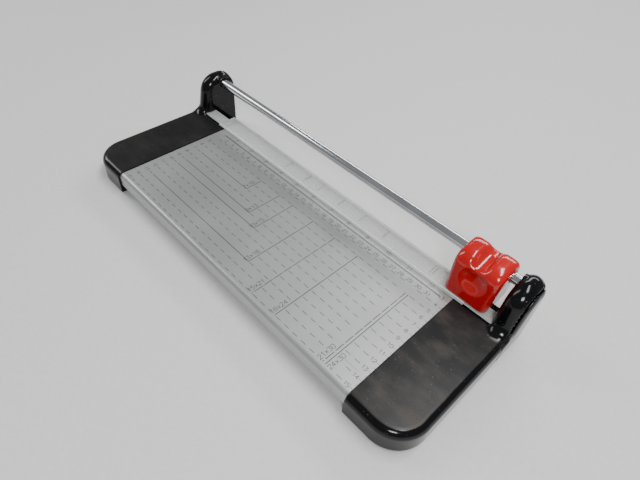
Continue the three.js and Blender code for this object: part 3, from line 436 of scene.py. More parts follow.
def table_section():
    """The outline from the groove's top edge forward, down the front wall, and back underneath."""
    nose = (TABLE_FRONT + NOSE_RADIUS, -NOSE_RADIUS)
    inside = TABLE_FRONT + PLATE
    rear = KNIFE_LOW[1] - GROOVE
    wall = rear - PLATE
    floor = KNIFE_LOW[2] - GROOVE
    lip = KNIFE_HIGH[1] + GROOVE
    lip_top = floor + LIP_HEIGHT
    return np.vstack(
        [
            [(rear, -GROOVE_EDGE), (rear - GROOVE_EDGE, 0.0)],
            arc(nose, NOSE_RADIUS, 90, 180, 14),
            [(TABLE_FRONT, TABLE_BOTTOM + WALL_EDGE), (TABLE_FRONT + WALL_EDGE, TABLE_BOTTOM)],
            [(inside - WALL_EDGE, TABLE_BOTTOM), (inside, TABLE_BOTTOM + WALL_EDGE)],
            arc(nose, NOSE_RADIUS - PLATE, 180, 90, 10),
            *[screw_channel(place) for place in SCREW_PLACES],
            [(wall - GROOVE_FILLET, -PLATE), (wall, -PLATE - GROOVE_FILLET)],
            [(wall, floor - PLATE), (lip + LIP, floor - PLATE)],
            [(lip + LIP, lip_top - LIP_EDGE), (lip + LIP - LIP_EDGE, lip_top), (lip, lip_top)],
            [(lip, floor), (rear, floor)],
        ]
    )


section = table_section()
table = along_x(section, TABLE_LOW[0], TABLE_HIGH[0])
make_piece("board", table, aluminium, "frame", ["board"], sharp=30)

# %% [markdown]
# The printing is what makes this table a measuring tool: a centimetre ruler with an inch ruler
# behind it, rows of dashes every centimetre, and the outlines of common paper and print sizes.
# It is drawn as hundreds of thin flat strokes of ink. Digits are short polylines, as a plotter
# would draw them, so no font is needed.

# %% Strokes and digits
RULER_ZERO = TABLE_LOW[0] + 1.5
CM = 10.0
DIGITS = {
    "0": [[(1, 0), (3, 0), (4, 1), (4, 5), (3, 6), (1, 6), (0, 5), (0, 1), (1, 0)]],
    "1": [[(1, 4.8), (2.6, 6), (2.6, 0)]],
    "2": [[(0, 5), (1, 6), (3, 6), (4, 5), (4, 4), (0, 0), (4, 0)]],
    "3": [[(0, 6), (4, 6), (2, 3.6), (3, 3.6), (4, 2.6), (4, 1), (3, 0), (1, 0), (0, 1)]],
    "4": [[(3, 0), (3, 6), (0, 1.8), (4, 1.8)]],
    "5": [[(4, 6), (0, 6), (0, 3.6), (3, 3.6), (4, 2.6), (4, 1), (3, 0), (0, 0)]],
    "6": [[(4, 5), (3, 6), (1, 6), (0, 5), (0, 1), (1, 0), (3, 0), (4, 1), (4, 2.6), (3, 3.4), (0, 3.4)]],
    "7": [[(0, 6), (4, 6), (1.4, 0)]],
    "8": [
        [(1, 3.2), (0, 4.1), (0, 5), (1, 6), (3, 6), (4, 5), (4, 4.1), (3, 3.2), (1, 3.2)],
        [(1, 3.2), (0, 2.3), (0, 1), (1, 0), (3, 0), (4, 1), (4, 2.3), (3, 3.2)],
    ],
    "9": [[(4, 2.6), (1, 2.6), (0, 3.4), (0, 5), (1, 6), (3, 6), (4, 5), (4, 1), (3, 0), (1, 0), (0, 1)]],
    "x": [[(0.3, 0.4), (3.7, 4.4)], [(0.3, 4.4), (3.7, 0.4)]],
}


GLYPH_HEIGHT = 6  # the digits are drawn on a grid 4 wide and 6 high
GLYPH_PITCH, GLYPH_GAP = 5.4, 1.4


def stroke(x1, y1, x2, y2, width):
    """One straight stroke, given in ruler centimetres: x from the stop, y forward of the cut."""
    return (RULER_ZERO + CM * x1, -CM * y1, RULER_ZERO + CM * x2, -CM * y2, width)


def lettering(text, x, y, height, width, turned_left=False):
    """Strokes of a number centred on a ruler place. Turned left, it reads from the front back."""
    unit = height / GLYPH_HEIGHT
    pitch = GLYPH_PITCH * unit
    start = -(len(text) * pitch - GLYPH_GAP * unit) / 2
    strokes = []
    for i, digit in enumerate(text):
        for line in DIGITS[digit]:
            placed = [(start + i * pitch + u * unit, v * unit - height / 2) for u, v in line]
            if turned_left:
                placed = [(-v, u) for u, v in placed]
            for (u1, v1), (u2, v2) in zip(placed, placed[1:]):
                strokes.append(stroke(x + u1, y - v1, x + u2, y - v2, width))
    return strokes


INK_THICKNESS = 0.03
INK_LIFT = 0.01  # above the printed face
STROKE_OVERRUN = 0.3  # of the width, past each end


def ink(strokes, height):
    """Every stroke as a flat bar: its four corners twice, at the print's bottom and top."""
    x1, y1, x2, y2, width = np.array(strokes).T
    length = np.maximum(np.hypot(x2 - x1, y2 - y1), 1e-6)
    along = np.stack([(x2 - x1) / length, (y2 - y1) / length], 1)
    across = np.stack([-along[:, 1], along[:, 0]], 1) * width[:, None] / 2
    a = np.stack([x1, y1], 1) - along * STROKE_OVERRUN * width[:, None]
    b = np.stack([x2, y2], 1) + along * STROKE_OVERRUN * width[:, None]
    flat = np.stack([a - across, b - across, b + across, a + across], 1)
    low = np.concatenate([flat, np.full(flat.shape[:2] + (1,), height)], 2)
    high = np.concatenate([flat, np.full(flat.shape[:2] + (1,), height + INK_THICKNESS)], 2)
    points = np.concatenate([low, high], 1).reshape(-1, 3)
    bar = np.array(
        [[3, 2, 1, 0], [4, 5, 6, 7], [0, 1, 5, 4], [1, 2, 6, 5], [2, 3, 7, 6], [3, 0, 4, 7]]
    )
    faces = (np.arange(len(flat))[:, None, None] * 8 + bar).reshape(-1, 4)
    return Shape(points, faces)


print("digits:", len(DIGITS), "glyphs")

# %% Ruler, dashes and formats
RULER_Y = 3.0
FIRST_CM, LAST_CM = 1, 32
INCH = 2.54
FIRST_ROW, LAST_ROW = 4, 15
FORMAT_CORNER = (2, 5)  # where the outlines of the formats start
FORMATS = [(10, 7, "7x10"), (13, 9, "9x13"), (15, 10, "10x15"), (18, 13, "13x18")]
LINES = [(21.0, "15x21", True, -1), (24.0, "18x24", False, -1), (29.7, "21x30", True, -1)]
LINES.append((30.0, "24x30", False, 1))
DASH_PITCH, DASH_LENGTH = 1.1, 0.9
TICK_STROKE, LINE_STROKE, LARGE_STROKE = 0.28, 0.6, 0.65  # stroke widths in millimetres
CM_TICKS = (0.32, 0.22, 0.13)  # whole, half and tenth of a centimetre
INCH_TICKS = (0.38, 0.2, 0.12)  # whole, quarter and sixteenth of an inch
DASH_STROKE = 0.5
DASH = (0.2, 0.72)  # a dash's start and end, from its centimetre
LABEL_HEIGHT, LABEL_STROKE = 0.4, 0.42


def ruler():
    """Millimetre ticks in front of the base line, sixteenths of an inch behind it, and numbers."""
    marks = [stroke(FIRST_CM, RULER_Y, LAST_CM, RULER_Y, LINE_STROKE)]
    whole, half, least = CM_TICKS
    for tenth in range(FIRST_CM * 10, LAST_CM * 10 + 1):
        reach = whole if tenth % 10 == 0 else half if tenth % 5 == 0 else least
        marks.append(stroke(tenth / 10, RULER_Y, tenth / 10, RULER_Y + reach, TICK_STROKE))
    whole, quarter, least = INCH_TICKS
    for part in range(int(FIRST_CM / INCH * 16) + 1, int(LAST_CM / INCH * 16) + 1):
        reach = whole if part % 16 == 0 else quarter if part % 4 == 0 else least
        x = part * INCH / 16
        marks.append(stroke(x, RULER_Y, x, RULER_Y - reach, TICK_STROKE))
    for cm in range(2, LAST_CM):
        marks += lettering(str(cm), cm, RULER_Y + 0.6, 0.36, 0.4)
    for inch in range(1, 13):
        marks += lettering(str(inch), inch * INCH + 0.14 + 0.06 * (inch > 9), RULER_Y - 0.46, 0.34, 0.38)
    return marks


def blocked(cm, row):
    """True where a format line or its label takes the place of a dash."""
    if cm == 29 or (cm == 30 and row >= 14):
        return True
    labels = {(9, 6), (12, 8), (14, 9), (17, 12), (20, 14), (23, 14)}
    if (cm, row) in labels:
        return True
    return any(row == y and FORMAT_CORNER[0] <= cm < x for x, y, _ in FORMATS)


def dashes():
    """A dash in front of every centimetre, on a row every centimetre, but not under a line."""
    return [
        stroke(cm + DASH[0], row, cm + DASH[1], row, DASH_STROKE)
        for row in range(FIRST_ROW, LAST_ROW + 1)
        for cm in range(1, LAST_CM)
        if not blocked(cm, row)
    ]


def formats():
    """Paper outlines that share the ruler's zero corner, and straight lines for bigger sheets."""
    left, top = FORMAT_CORNER
    marks = []
    for x, y, label in FORMATS:
        marks += [stroke(left, y, x, y, LINE_STROKE), stroke(x, top, x, y, LINE_STROKE)]
        marks += lettering(label, x - 0.4, y - 0.62, LABEL_HEIGHT, LABEL_STROKE, turned_left=True)
    for x, label, dashed, side in LINES:
        ends = [(top, LAST_ROW)]
        if dashed:
            starts = [top + DASH_PITCH * i for i in range(9)]
            ends = [(a, min(a + DASH_LENGTH, LAST_ROW)) for a in starts] + [(14.9, LAST_ROW)]
        marks += [stroke(x, a, x, b, LARGE_STROKE) for a, b in ends]
        marks += lettering(label, x + side * 0.42, 14.2, LABEL_HEIGHT, LABEL_STROKE, turned_left=True)
    marks.append(stroke(30.7, 13.6, 32.2, 13.6, 0.2))
    return marks


def side_scales():
    """Depth numbers at both ends of the table, with a tick for each."""
    marks = []
    for row in range(FIRST_ROW - 1, LAST_ROW + 1):
        if row > FIRST_ROW:
            marks += lettering(str(row), 0.7, row, 0.34, 0.4)
            marks.append(stroke(0.12, row, 0.36, row, 0.22))
        marks += lettering(str(row), 32.22, row, 0.34, 0.4)
        marks.append(stroke(32.52, row, 32.85, row, 0.25))
        marks.append(stroke(32.7, row + 0.5, 32.85, row + 0.5, 0.22))
    return marks


# %% [markdown]
# Printing ink on metal is matt and a little uneven: it is thinner where hands and paper rub it.


# %% Ink
def printing_ink():
    f = Finish("printing_ink")
    worn = f.noise(60.0, 5.0).ramp(0.42, 0.72)
    f.feed("Base Color", f.mix(worn, rgb(0.012, 0.012, 0.013), rgb(0.05, 0.05, 0.052)))
    f.feed("Roughness", worn * 0.15 + 0.5)
    return f.material


ink_black = printing_ink()
strokes = ruler() + dashes() + formats() + side_scales()
make_piece("table_print", ink(strokes, INK_LIFT), ink_black, "frame")

# %% [markdown]
# The fixed knife is a ground steel bar. Its top is level with the table and its rear edge is the
# cut line itself, so the only detail is a tiny bevel that keeps the corners from looking drawn.

# %% Ground steel and the knife
def ground_steel(name="ground_steel", tone=0.55, along=(900, 30, 900)):
    f = Finish(name, Metallic=1.0)
    lines = f.noise(1.0, 3.0, f.stretched(*along))
    patch = f.noise(40.0, 3.0)
    dark, light = rgb(tone * 0.82, tone * 0.82, tone * 0.83), rgb(tone, tone, tone * 1.01)
    f.feed("Base Color", f.mix((lines * 0.6 + patch * 0.4).ramp(0.3, 0.7), dark, light))
    f.feed("Roughness", lines * 0.14 + patch * 0.1 + 0.2)
    f.bump(lines, 0.00002, 0.4)
    return f.material


def bevelled_box(low, high, bevel):
    """A box section with its four long edges cut off, carried along x."""
    (x0, y0, z0), (x1, y1, z1) = low, high
    b = bevel
    outline = [
        (y0 + b, z0), (y1 - b, z0), (y1, z0 + b), (y1, z1 - b),
        (y1 - b, z1), (y0 + b, z1), (y0, z1 - b), (y0, z0 + b),
    ]
    return along_x(outline, x0, x1)


steel = ground_steel()
KNIFE_BEVEL = 0.12
knife = bevelled_box(KNIFE_LOW, KNIFE_HIGH, KNIFE_BEVEL)
make_piece("counter_knife", knife, steel, "frame", ["counter_knife"], sharp=20)

# %% [markdown]
# The rod is chromed steel. Chrome shows its surroundings, so it needs hardly any colour of its own;
# what makes it real is the faint haze of rubbing along its length.

# %% Chromed rod
def chromed():
    f = Finish("chromed_steel", Metallic=1.0)
    rubbed = f.noise(1.0, 4.0, f.stretched(14, 900, 900))
    haze = f.noise(30.0, 3.0)
    f.feed("Base Color", f.mix(haze.ramp(0.35, 0.7), rgb(0.82, 0.83, 0.84), rgb(0.70, 0.71, 0.72)))
    f.feed("Roughness", rubbed * 0.10 + haze * 0.08 + 0.03)
    return f.material


ROD_LOW, ROD_HIGH = cut_box("guide_rod")
ROD_Y, ROD_Z = ((ROD_LOW + ROD_HIGH) / 2)[1:]
ROD_RADIUS = (ROD_HIGH[2] - ROD_LOW[2]) / 2
ROD_END = ROD_HIGH[0]
ROD_BORE, ROD_BORE_DEPTH = 2.6, 8.0
BORE_EDGE, ROD_EDGE = 0.4, 0.5
rod_profile = [
    (ROD_BORE, ROD_END - ROD_BORE_DEPTH), (ROD_BORE, ROD_END - BORE_EDGE),
    (ROD_BORE + BORE_EDGE, ROD_END), (ROD_RADIUS - ROD_EDGE, ROD_END), (ROD_RADIUS, ROD_END - ROD_EDGE),
]
rod_outline = [(p, -a) for p, a in rod_profile] + [(p, a) for p, a in reversed(rod_profile)]
chrome = chromed()
rod = turned(rod_outline, sides=64).moved(0, ROD_Y, ROD_Z)
make_piece("guide_rod", rod, chrome, "frame", ["guide_rod"], sharp=40)

# %% [markdown]
# The clamp strip is clear acrylic. Seen from above it shows the table through it, while its cut
# edges catch the light and look white. Real acrylic is a little scuffed where paper slides under
# it. A see-through surface with an even gloss costs little to render and stays clear in every view.

# %% Clear acrylic
def clear_acrylic():
    f = Finish("clear_acrylic", IOR=1.49)
    scuff = f.noise(1.0, 4.0, f.stretched(220, 40, 40))
    dust = f.noise(520.0, 2.0).ramp(0.66, 0.74)
    cloud = f.noise(26.0, 3.0)
    normal = f.node("ShaderNodeNewGeometry", output="Normal")
    upright = f.node("ShaderNodeSeparateXYZ", output="Z", _0=normal)
    edge = 1.0 - abs(upright).ramp(0.55, 0.95)
    f.feed("Base Color", f.mix(edge, rgb(0.70, 0.72, 0.70), rgb(0.92, 0.94, 0.92)))
    f.feed("Roughness", scuff * 0.16 + 0.06)
    f.feed("Alpha", (edge * 0.55 + cloud * 0.12 + dust * 0.3 + 0.26).clipped())
    return f.material


STRIP_LOW, STRIP_HIGH = cut_box("clamp_strip")
STRIP_HALF = 174.5
STRIP_EDGE = 0.25
TONGUE = (-22.0, -9.0)
acrylic = clear_acrylic()


def strip_shape():
    """A wide middle with a stepped front lip, and a narrower tongue at each end."""
    front, back = STRIP_LOW[1], STRIP_HIGH[1]
    low, high = STRIP_LOW[2], STRIP_HIGH[2]
    middle = [
        (front + 1.0, low), (back - STRIP_EDGE, low), (back, low + STRIP_EDGE),
        (back, high - STRIP_EDGE), (back - STRIP_EDGE, high), (front + 2.6, high), (front + 2.2, high - 0.7),
        (front + 1.7, high - 0.7), (front + 1.4, high - 0.2), (front, high - 0.6), (front, low + 0.4),
    ]
    tongue = [(TONGUE[0], low), (TONGUE[1], low), (TONGUE[1], high), (TONGUE[0], high)]
    ends = along_x(tongue, STRIP_HALF, STRIP_HIGH[0])
    return along_x(middle, -STRIP_HALF, STRIP_HALF) + ends + ends.mirrored()


make_piece("clamp_strip", strip_shape(), acrylic, "clamp", ["clamp_strip"], sharp=20)

WHOLE_MARKS, BROKEN_MARKS = (10.0, 13.0, 15.0, 18.0, 24.0, 30.0), (21.0, 29.7)
MARK_START, MARK_END = 0.55, 1.7
BROKEN_STARTS, BROKEN_LENGTH = (MARK_START, 1.0, 1.42), 0.28
strip_marks = [stroke(x, MARK_START, x, MARK_END, DASH_STROKE) for x in WHOLE_MARKS]
for x in BROKEN_MARKS:
    strip_marks += [stroke(x, y, x, y + BROKEN_LENGTH, DASH_STROKE) for y in BROKEN_STARTS]
strip_ink = ink(strip_marks, STRIP_HIGH[2] + INK_LIFT)
make_piece("strip_print", strip_ink, ink_black, "clamp")

# %% [markdown]
# Each end piece is one black moulding: a low deck with a rounded rim, and a post that grows out of
# it with a soft flare at its foot. These flowing fillets are why it is drawn as a distance field.
# The mould gave the flat a satin texture and polished the rim, so one material changes with height.

# %% End piece fields
DECK_TOP = 1.0
DECK_BACK = -24.5
SHELF_TOP = -0.5
CORNER_RADIUS = 30.0
RIM_RADIUS = 7.0
WALL = 2.6
POST_INNER = 200.5
CAP_INNER, CAP_OUTER = CAP_LOW[0], CAP_HIGH[0]
CAP_FRONT, POST_BACK = CAP_LOW[1], CAP_HIGH[1]
CAP_BOTTOM = CAP_LOW[2]
DECK_EDGE, DECK_BACK_EDGE, CAP_LOW_EDGE = 0.5, 0.4, 0.6
POST_CROWN = CAP_HIGH[2] - 2.5
POST_FOOT = (-25.0, 3.0)  # y and z where the front face starts
POST_LEAN = (6, 32)  # the front leans this far back in this height
CROWN_FRONT, CROWN_BACK = 18.0, 14.0
DOME_OUTER, DOME_INNER = 13.0, 10.0
INNER_SHARPER = 8.0  # the inner edge is rounded this much less low down at the back
FLARE_SMALL, FLARE_LARGE = 5.0, 10.0
COVER_SEAM = 218.85
COVER_FRONT = -33.0
COVER_GAP = 0.35
SEAM_EDGE, COVER_EDGE = 1.2, 1.1
PEG_PLACES = ((-11.0, 28.0), (9.0, 8.0))
PEG_RADIUS, PEG_LENGTH = 2.4, 8.0
BOSS_RADIUS, BOSS_START, BOSS_END = 8.8, 1.0, 13.5
ROD_SEAT_RADIUS, ROD_SEAT_DEPTH = 5.15, 10.3
ROD_SCREW_HOLE = 2.8
TONGUE_ROOM = 0.4
SLOT_TOP, SLOT_START, SLOT_END = 3.2, -9.0, 4.0
PILLAR_RADIUS = 9.2
FOOT_POCKET_RADIUS, FOOT_POCKET_DEPTH = 7.4, 2.4
FOOT_STEM_RADIUS, FOOT_STEM_DEPTH = 2.9, 8.0
SCREW_HOLE_RADIUS = 2.4
FEET = [((cut_box(n)[0] + cut_box(n)[1]) / 2)[:2] for n in ("foot_right_front", "foot_right_rear")]


def deck_field(x, y, z):
    """The low deck: a plate with one big corner and a quarter-round rim in front and outside."""
    plan = meet(x - CAP_OUTER, CAP_FRONT - y, CORNER_RADIUS)
    rimmed = meet(plan, z - DECK_TOP, RIM_RADIUS)
    return meet(meet(rimmed, CAP_INNER - x, DECK_EDGE), y - DECK_BACK, DECK_BACK_EDGE)


def post_side(y, z):
    """The post from the side: a front that leans back, and a crown rounded fore and aft."""
    back, up = POST_LEAN
    front = ((y - POST_FOOT[0]) * -up + (z - POST_FOOT[1]) * back) / math.hypot(up, back)
    crown = meet(front, z - POST_CROWN, CROWN_FRONT)
    return meet(crown, y - POST_BACK, CROWN_BACK)


def post_field(x, y, z, inset=0.0):
    """The post: its side shape between two faces, both of them rounded into a dome."""
    lower_back = smooth(y, 6, 16) * (1 - smooth(z, 28, 40))
    round_inner = np.maximum(DOME_INNER - INNER_SHARPER * lower_back - inset, 0.5)
    inner = meet(post_side(y, z) + inset, POST_INNER + inset - x, round_inner)
    return meet(inner, x - CAP_OUTER, DOME_OUTER - inset)


def cap_outside(x, y, z):
    """Deck and post joined by a flare, with the low shelf behind the deck."""
    flare = FLARE_SMALL + (FLARE_LARGE - FLARE_SMALL) * smooth(x, 199, 209)
    body = merge(deck_field(x, y, z), post_field(x, y, z), flare)
    body = np.maximum(body, x - CAP_OUTER)
    shelf = np.maximum(slab(x, CAP_INNER, POST_INNER + 3), slab(y, DECK_BACK - 2, 0))
    body = np.minimum(body, np.maximum(shelf, z - SHELF_TOP))
    return meet(body, CAP_BOTTOM - z, CAP_LOW_EDGE)


def cap_hollow(x, y, z):
    """The room inside: under the deck and the shelf, and in the post behind its cover."""
    plan = meet(x - CAP_OUTER, CAP_FRONT - y, CORNER_RADIUS) + WALL
    under = meet(plan, z - (SHELF_TOP - WALL), RIM_RADIUS - WALL)
    under = np.maximum(under, CAP_INNER + WALL - x)
    under = np.maximum(under, y - (KNIFE_LOW[1] - GROOVE - WALL))
    under = np.maximum(under, np.minimum(x - (POST_INNER - 0.3), y + 32.0))
    post = np.maximum(post_field(x, y, z, WALL), CAP_BOTTOM + WALL - z)
    return np.minimum(under, post)


def take(body, *sides):
    """The body without the space where every one of the given distances is negative."""
    room = sides[0]
    for side in sides[1:]:
        room = np.maximum(room, side)
    return np.maximum(body, -room)


def end_piece(x, y, z):
    """Hollow moulding, plus a rod boss and foot pillars, minus every seat, slot and screw hole."""
    body = cut(cap_outside(x, y, z), cap_hollow(x, y, z), 0.3)
    rod = np.hypot(y - ROD_Y, z - ROD_Z)
    boss = np.maximum(rod - BOSS_RADIUS, slab(x, POST_INNER + BOSS_START, POST_INNER + BOSS_END))
    body = np.minimum(body, boss)
    for fx, fy in FEET:
        height = slab(z, CAP_BOTTOM, SHELF_TOP - WALL + 1)
        body = np.minimum(body, np.maximum(rod_field(x - fx, y - fy, PILLAR_RADIUS), height))
    seat = np.maximum(rod - ROD_SEAT_RADIUS, x - POST_INNER - ROD_SEAT_DEPTH)
    body = cut(body, seat, 0.3)
    body = take(body, rod - ROD_SCREW_HOLE, POST_INNER - x)
    slot = slab(x, POST_INNER + SLOT_START, POST_INNER + SLOT_END)
    tongue = slab(y, TONGUE[0] - TONGUE_ROOM, TONGUE[1] + TONGUE_ROOM)
    body = take(body, slot, slab(z, SHELF_TOP, SLOT_TOP), tongue)
    ahead = KNIFE_LOW[1] - GROOVE - y
    body = take(body, x - KNIFE_HIGH[0] - GROOVE, ahead, KNIFE_LOW[2] - GROOVE - z)
    for fx, fy in FEET:
        across = np.hypot(x - fx, y - fy)
        body = take(body, across - FOOT_POCKET_RADIUS, z - CAP_BOTTOM - FOOT_POCKET_DEPTH)
        body = take(body, across - FOOT_STEM_RADIUS, z - CAP_BOTTOM - FOOT_STEM_DEPTH)
    for fy in SCREW_PLACES:
        hole = rod_field(y - fy, z - CHANNEL_Z, SCREW_HOLE_RADIUS)
        body = take(body, hole, x - CAP_INNER - WALL - 1)
    return cut(body, np.maximum(COVER_SEAM - x, COVER_FRONT - y), SEAM_EDGE)


def cover_plate(x, y, z):
    """The outer slice of the same outside shape, with its seam edge rounded, and two pegs."""
    place = np.maximum(COVER_SEAM + COVER_GAP - x, COVER_FRONT + COVER_GAP - y)
    plate = meet(cap_outside(x, y, z), place, COVER_EDGE)
    length = slab(x, COVER_SEAM - PEG_LENGTH, COVER_SEAM + 1)
    for py, pz in PEG_PLACES:
        plate = np.minimum(plate, np.maximum(rod_field(y - py, z - pz, PEG_RADIUS), length))
    return plate


print("end piece box:", CAP_LOW.round(1), CAP_HIGH.round(1))

# %% [markdown]
# Handled black plastic is never evenly black: the satin flat holds dust and dry smears, and the glossy
# rim stays clean. On the right cap the dust is four times as strong; that extra is painted light, a
# painted sheen that makes the right cap's flat lighter than the left one.

# %% Black moulded plastic
def black_moulding():
    f = Finish("black_moulding", Specular_IOR_Level=0.3)
    z, y, x = f.axis(2), f.axis(1), f.axis(0)
    deck = float(to_model([0, 0, DECK_TOP])[2])
    flat = z.ramp(deck - 0.0004, deck - 0.0001) * (1.0 - z.ramp(deck + 0.0001, deck + 0.0006))
    grain = f.noise(1500.0, 2.0)
    cloud = f.noise(22.0, 5.0, rough=0.6)
    smear = f.noise(1.0, 4.0, f.stretched(34, 80, 40))
    # dust: real dust and smears on the satin flat, times a painted sheen that is four times as strong on the
    # right cap as on the left
    dust = (cloud * 0.6 + smear * 0.4).ramp(0.42, 0.68) * flat * (x.ramp(-0.1, 0.1) * 0.75 + 0.25)
    speck = f.noise(700.0, 1.0).ramp(0.73, 0.77)
    colour = f.mix(flat, rgb(0.003, 0.003, 0.0035), rgb(0.007, 0.007, 0.0075))
    # The dust colour is real dust on both caps, plus a painted sheen that lightens the right cap's flat
    colour = f.mix(dust * 0.5, colour, rgb(0.085, 0.07, 0.055))
    f.feed("Base Color", f.mix(speck * 0.35, colour, rgb(0.25, 0.24, 0.22)))
    f.feed("Roughness", flat * 0.20 + cloud * 0.08 + dust * 0.12 + 0.09)
    f.bump(grain * flat, 0.00006, 0.6)
    return f.material


black = black_moulding()
CAP_CELL, CAP_CELL_QUICK = 0.9, 1.6
cell = CAP_CELL
right_cap = skin(end_piece, CAP_LOW - 2, CAP_HIGH + 2, cell)
cover_low = [COVER_SEAM - 10, COVER_FRONT - 2, CAP_BOTTOM - 2]
right_cover = skin(cover_plate, cover_low, CAP_HIGH + 2, cell)
for side, cap, cover in (
    ("right", right_cap, right_cover),
    ("left", right_cap.mirrored(), right_cover.mirrored()),
):
    make_piece(f"end_cap_{side}", cap, black, "frame", [f"end_cap_{side}"], sharp=60)
    make_piece(
        f"post_cover_{side}", cover, black, "frame", [f"post_cover_{side}"], sharp=60
    )

# %% [markdown]
# The red head is what the hand holds: two ridges for the fingers with a saddle between them, and a
# round hollow in front for the thumb. It is a shell over the black carrier that holds the blade.

# %% The hood's field
HOOD_X = HEAD_X + 0.2
HOOD_BOTTOM = 3.2
HOOD_TOP = 49.0
HOOD_SLOPE = 0.12
HOOD_WALL = 2.2
SADDLE_FLOOR, SADDLE_RADIUS = 42.0, 7.5
THUMB_Z, THUMB_RADIUS, THUMB_DEPTH = 28.0, 19.0, 4.2
THUMB_X = 1.0
BLADE_Z = 11.0
GUARD_RADIUS = 17.5
GUARD_SPAN = (1.6, 16.5)
HOOD_FRONT, HOOD_BACK, HOOD_HALF = 21.0, 17.0, 21.0
FRONT_LEAN, BACK_LEAN = 0.092, 0.11
BACK_LEAN_FROM, BACK_LEAN_HEIGHT = 22.0, 30.0
SIDE_FLARE, SIDE_FLARE_HEIGHT = 1.35, 26.0
SLOPE_FROM = 4.0  # the top slopes only in front of this
SADDLE_SLOPE = 2.2  # times as steep as the top
ROUND_FRONT, ROUND_SIDE, ROUND_BACK = 14.0, 9.0, 10.0
CORNER_FRONT, CORNER_BACK = 6.0, 4.0
SADDLE_EDGE, THUMB_EDGE, GUARD_FILLET, GUARD_EDGE = 3.5, 2.2, 1.5, 1.2
OPEN_FRONT = 2.1  # open below, in front of this
ROD_ROOM = 0.9
AXLE_HOLE = 4.9
HOOD_SCREW_X, HOOD_SCREW_Z, HOOD_SCREW_HOLE = 12.0, 22.0, 1.9


def hood_outside(x, y, z):
    """A leaning box. Front, sides and back each meet the sloping top with their own rounding."""
    rise = z - HOOD_BOTTOM
    slope = HOOD_SLOPE * np.minimum(y - SLOPE_FROM, 0)
    top = (z - HOOD_TOP - slope) / math.hypot(1, HOOD_SLOPE)
    lean = (-y - HOOD_FRONT + FRONT_LEAN * rise) * 0.996
    front = meet(lean, top, ROUND_FRONT)
    flare = SIDE_FLARE * np.clip(rise / SIDE_FLARE_HEIGHT, 0, 1)
    side = meet(np.abs(x) - HOOD_HALF - flare, top, ROUND_SIDE)
    drawn_in = BACK_LEAN * np.clip(z - BACK_LEAN_FROM, 0, BACK_LEAN_HEIGHT)
    back = meet(y - HOOD_BACK + drawn_in, top, ROUND_BACK)
    body = meet(meet(front, side, CORNER_FRONT), back, CORNER_BACK)
    saddle_z = z - SADDLE_FLOOR - SADDLE_RADIUS - SADDLE_SLOPE * slope
    return cut(body, rod_field(x, saddle_z, SADDLE_RADIUS), SADDLE_EDGE)


def thumb_hollow(x, y, z):
    """Distance to a ball whose back just sinks into the leaning front by the hollow's depth."""
    face = -HOOD_FRONT + FRONT_LEAN * (THUMB_Z - HOOD_BOTTOM)
    centre = face + THUMB_DEPTH - THUMB_RADIUS
    return np.sqrt((x - THUMB_X) ** 2 + (y - centre) ** 2 + (z - THUMB_Z) ** 2) - THUMB_RADIUS


def guard_field(x, y, z, inset=0.0):
    """The round guard behind the blade."""
    disc = rod_field(x, z - BLADE_Z, GUARD_RADIUS - inset)
    return meet(disc, slab(y, GUARD_SPAN[0] - inset * 2, GUARD_SPAN[1] - inset), GUARD_EDGE)


def hood(x, y, z):
    """The shell between the outside and the same shape one wall further in, open below."""
    shell, thumb = hood_outside(x - HOOD_X, y, z), thumb_hollow(x - HOOD_X, y, z)
    x = x - HEAD_X
    outside = cut(np.maximum(shell, HOOD_BOTTOM - z), thumb, THUMB_EDGE)
    outside = merge(outside, guard_field(x, y, z), GUARD_FILLET)
    inside = np.maximum(shell + HOOD_WALL, HOOD_WALL - thumb)
    inside = np.minimum(inside, guard_field(x, y, z, HOOD_WALL))
    body = cut(outside, inside, 0.5)
    body = take(body, y - OPEN_FRONT, z - HOOD_BOTTOM)
    body = cut(body, rod_field(y - ROD_Y, z - ROD_Z, ROD_RADIUS + ROD_ROOM), 0.4)
    body = take(body, rod_field(x, z - BLADE_Z, AXLE_HOLE), 5.0 - y)
    for screw_x in (-HOOD_SCREW_X, HOOD_SCREW_X):
        body = take(body, rod_field(x - screw_x, z - HOOD_SCREW_Z, HOOD_SCREW_HOLE), 8.0 - y)
    return body


# %% Glossy red plastic
def red_gloss():
    f = Finish("red_gloss", Coat_Weight=0.4, Coat_Roughness=0.05, Specular_IOR_Level=0.5)
    cloud = f.noise(30.0, 4.0)
    scratch = f.noise(1.0, 5.0, f.stretched(500, 60, 90)).ramp(0.62, 0.72)
    speck = f.noise(1100.0, 1.0).ramp(0.75, 0.79)
    colour = f.mix(cloud.ramp(0.3, 0.7), rgb(0.42, 0.003, 0.003), rgb(0.51, 0.005, 0.004))
    f.feed("Base Color", f.mix(speck * 0.5, colour, rgb(0.62, 0.30, 0.26)))
    f.feed("Roughness", cloud * 0.10 + scratch * 0.15 + 0.12)
    f.bump(f.noise(90.0, 2.0), 0.00012, 0.3)
    return f.material


red = red_gloss()
HOOD_CELL, HOOD_CELL_QUICK = 0.6, 1.2
hood_shape = skin(hood, HEAD_LOW - 3.0, HEAD_HIGH + 3.0, HOOD_CELL)
make_piece("head_shell", hood_shape, red, "head", ["head_shell"], sharp=60)

# %% [markdown]
# The pieces that stay as the CAD model has them are small: screws, springs, feet, bushes and the
# blade unit. They get their own finishes: rubber, nylon, steel wire and the carrier's black.

# %% Small finishes
def plain_plastic(name, dark, light, roughness):
    """A clouded colour between two tones, with a fine grain."""
    f = Finish(name)
    cloud = f.noise(45.0, 4.0)
    grain = f.noise(1800.0, 2.0)
    f.feed("Base Color", f.mix(cloud.ramp(0.3, 0.7), rgb(*dark), rgb(*light)))
    f.feed("Roughness", cloud * 0.12 + roughness)
    f.bump(grain, 0.00004, 0.5)
    return f.material


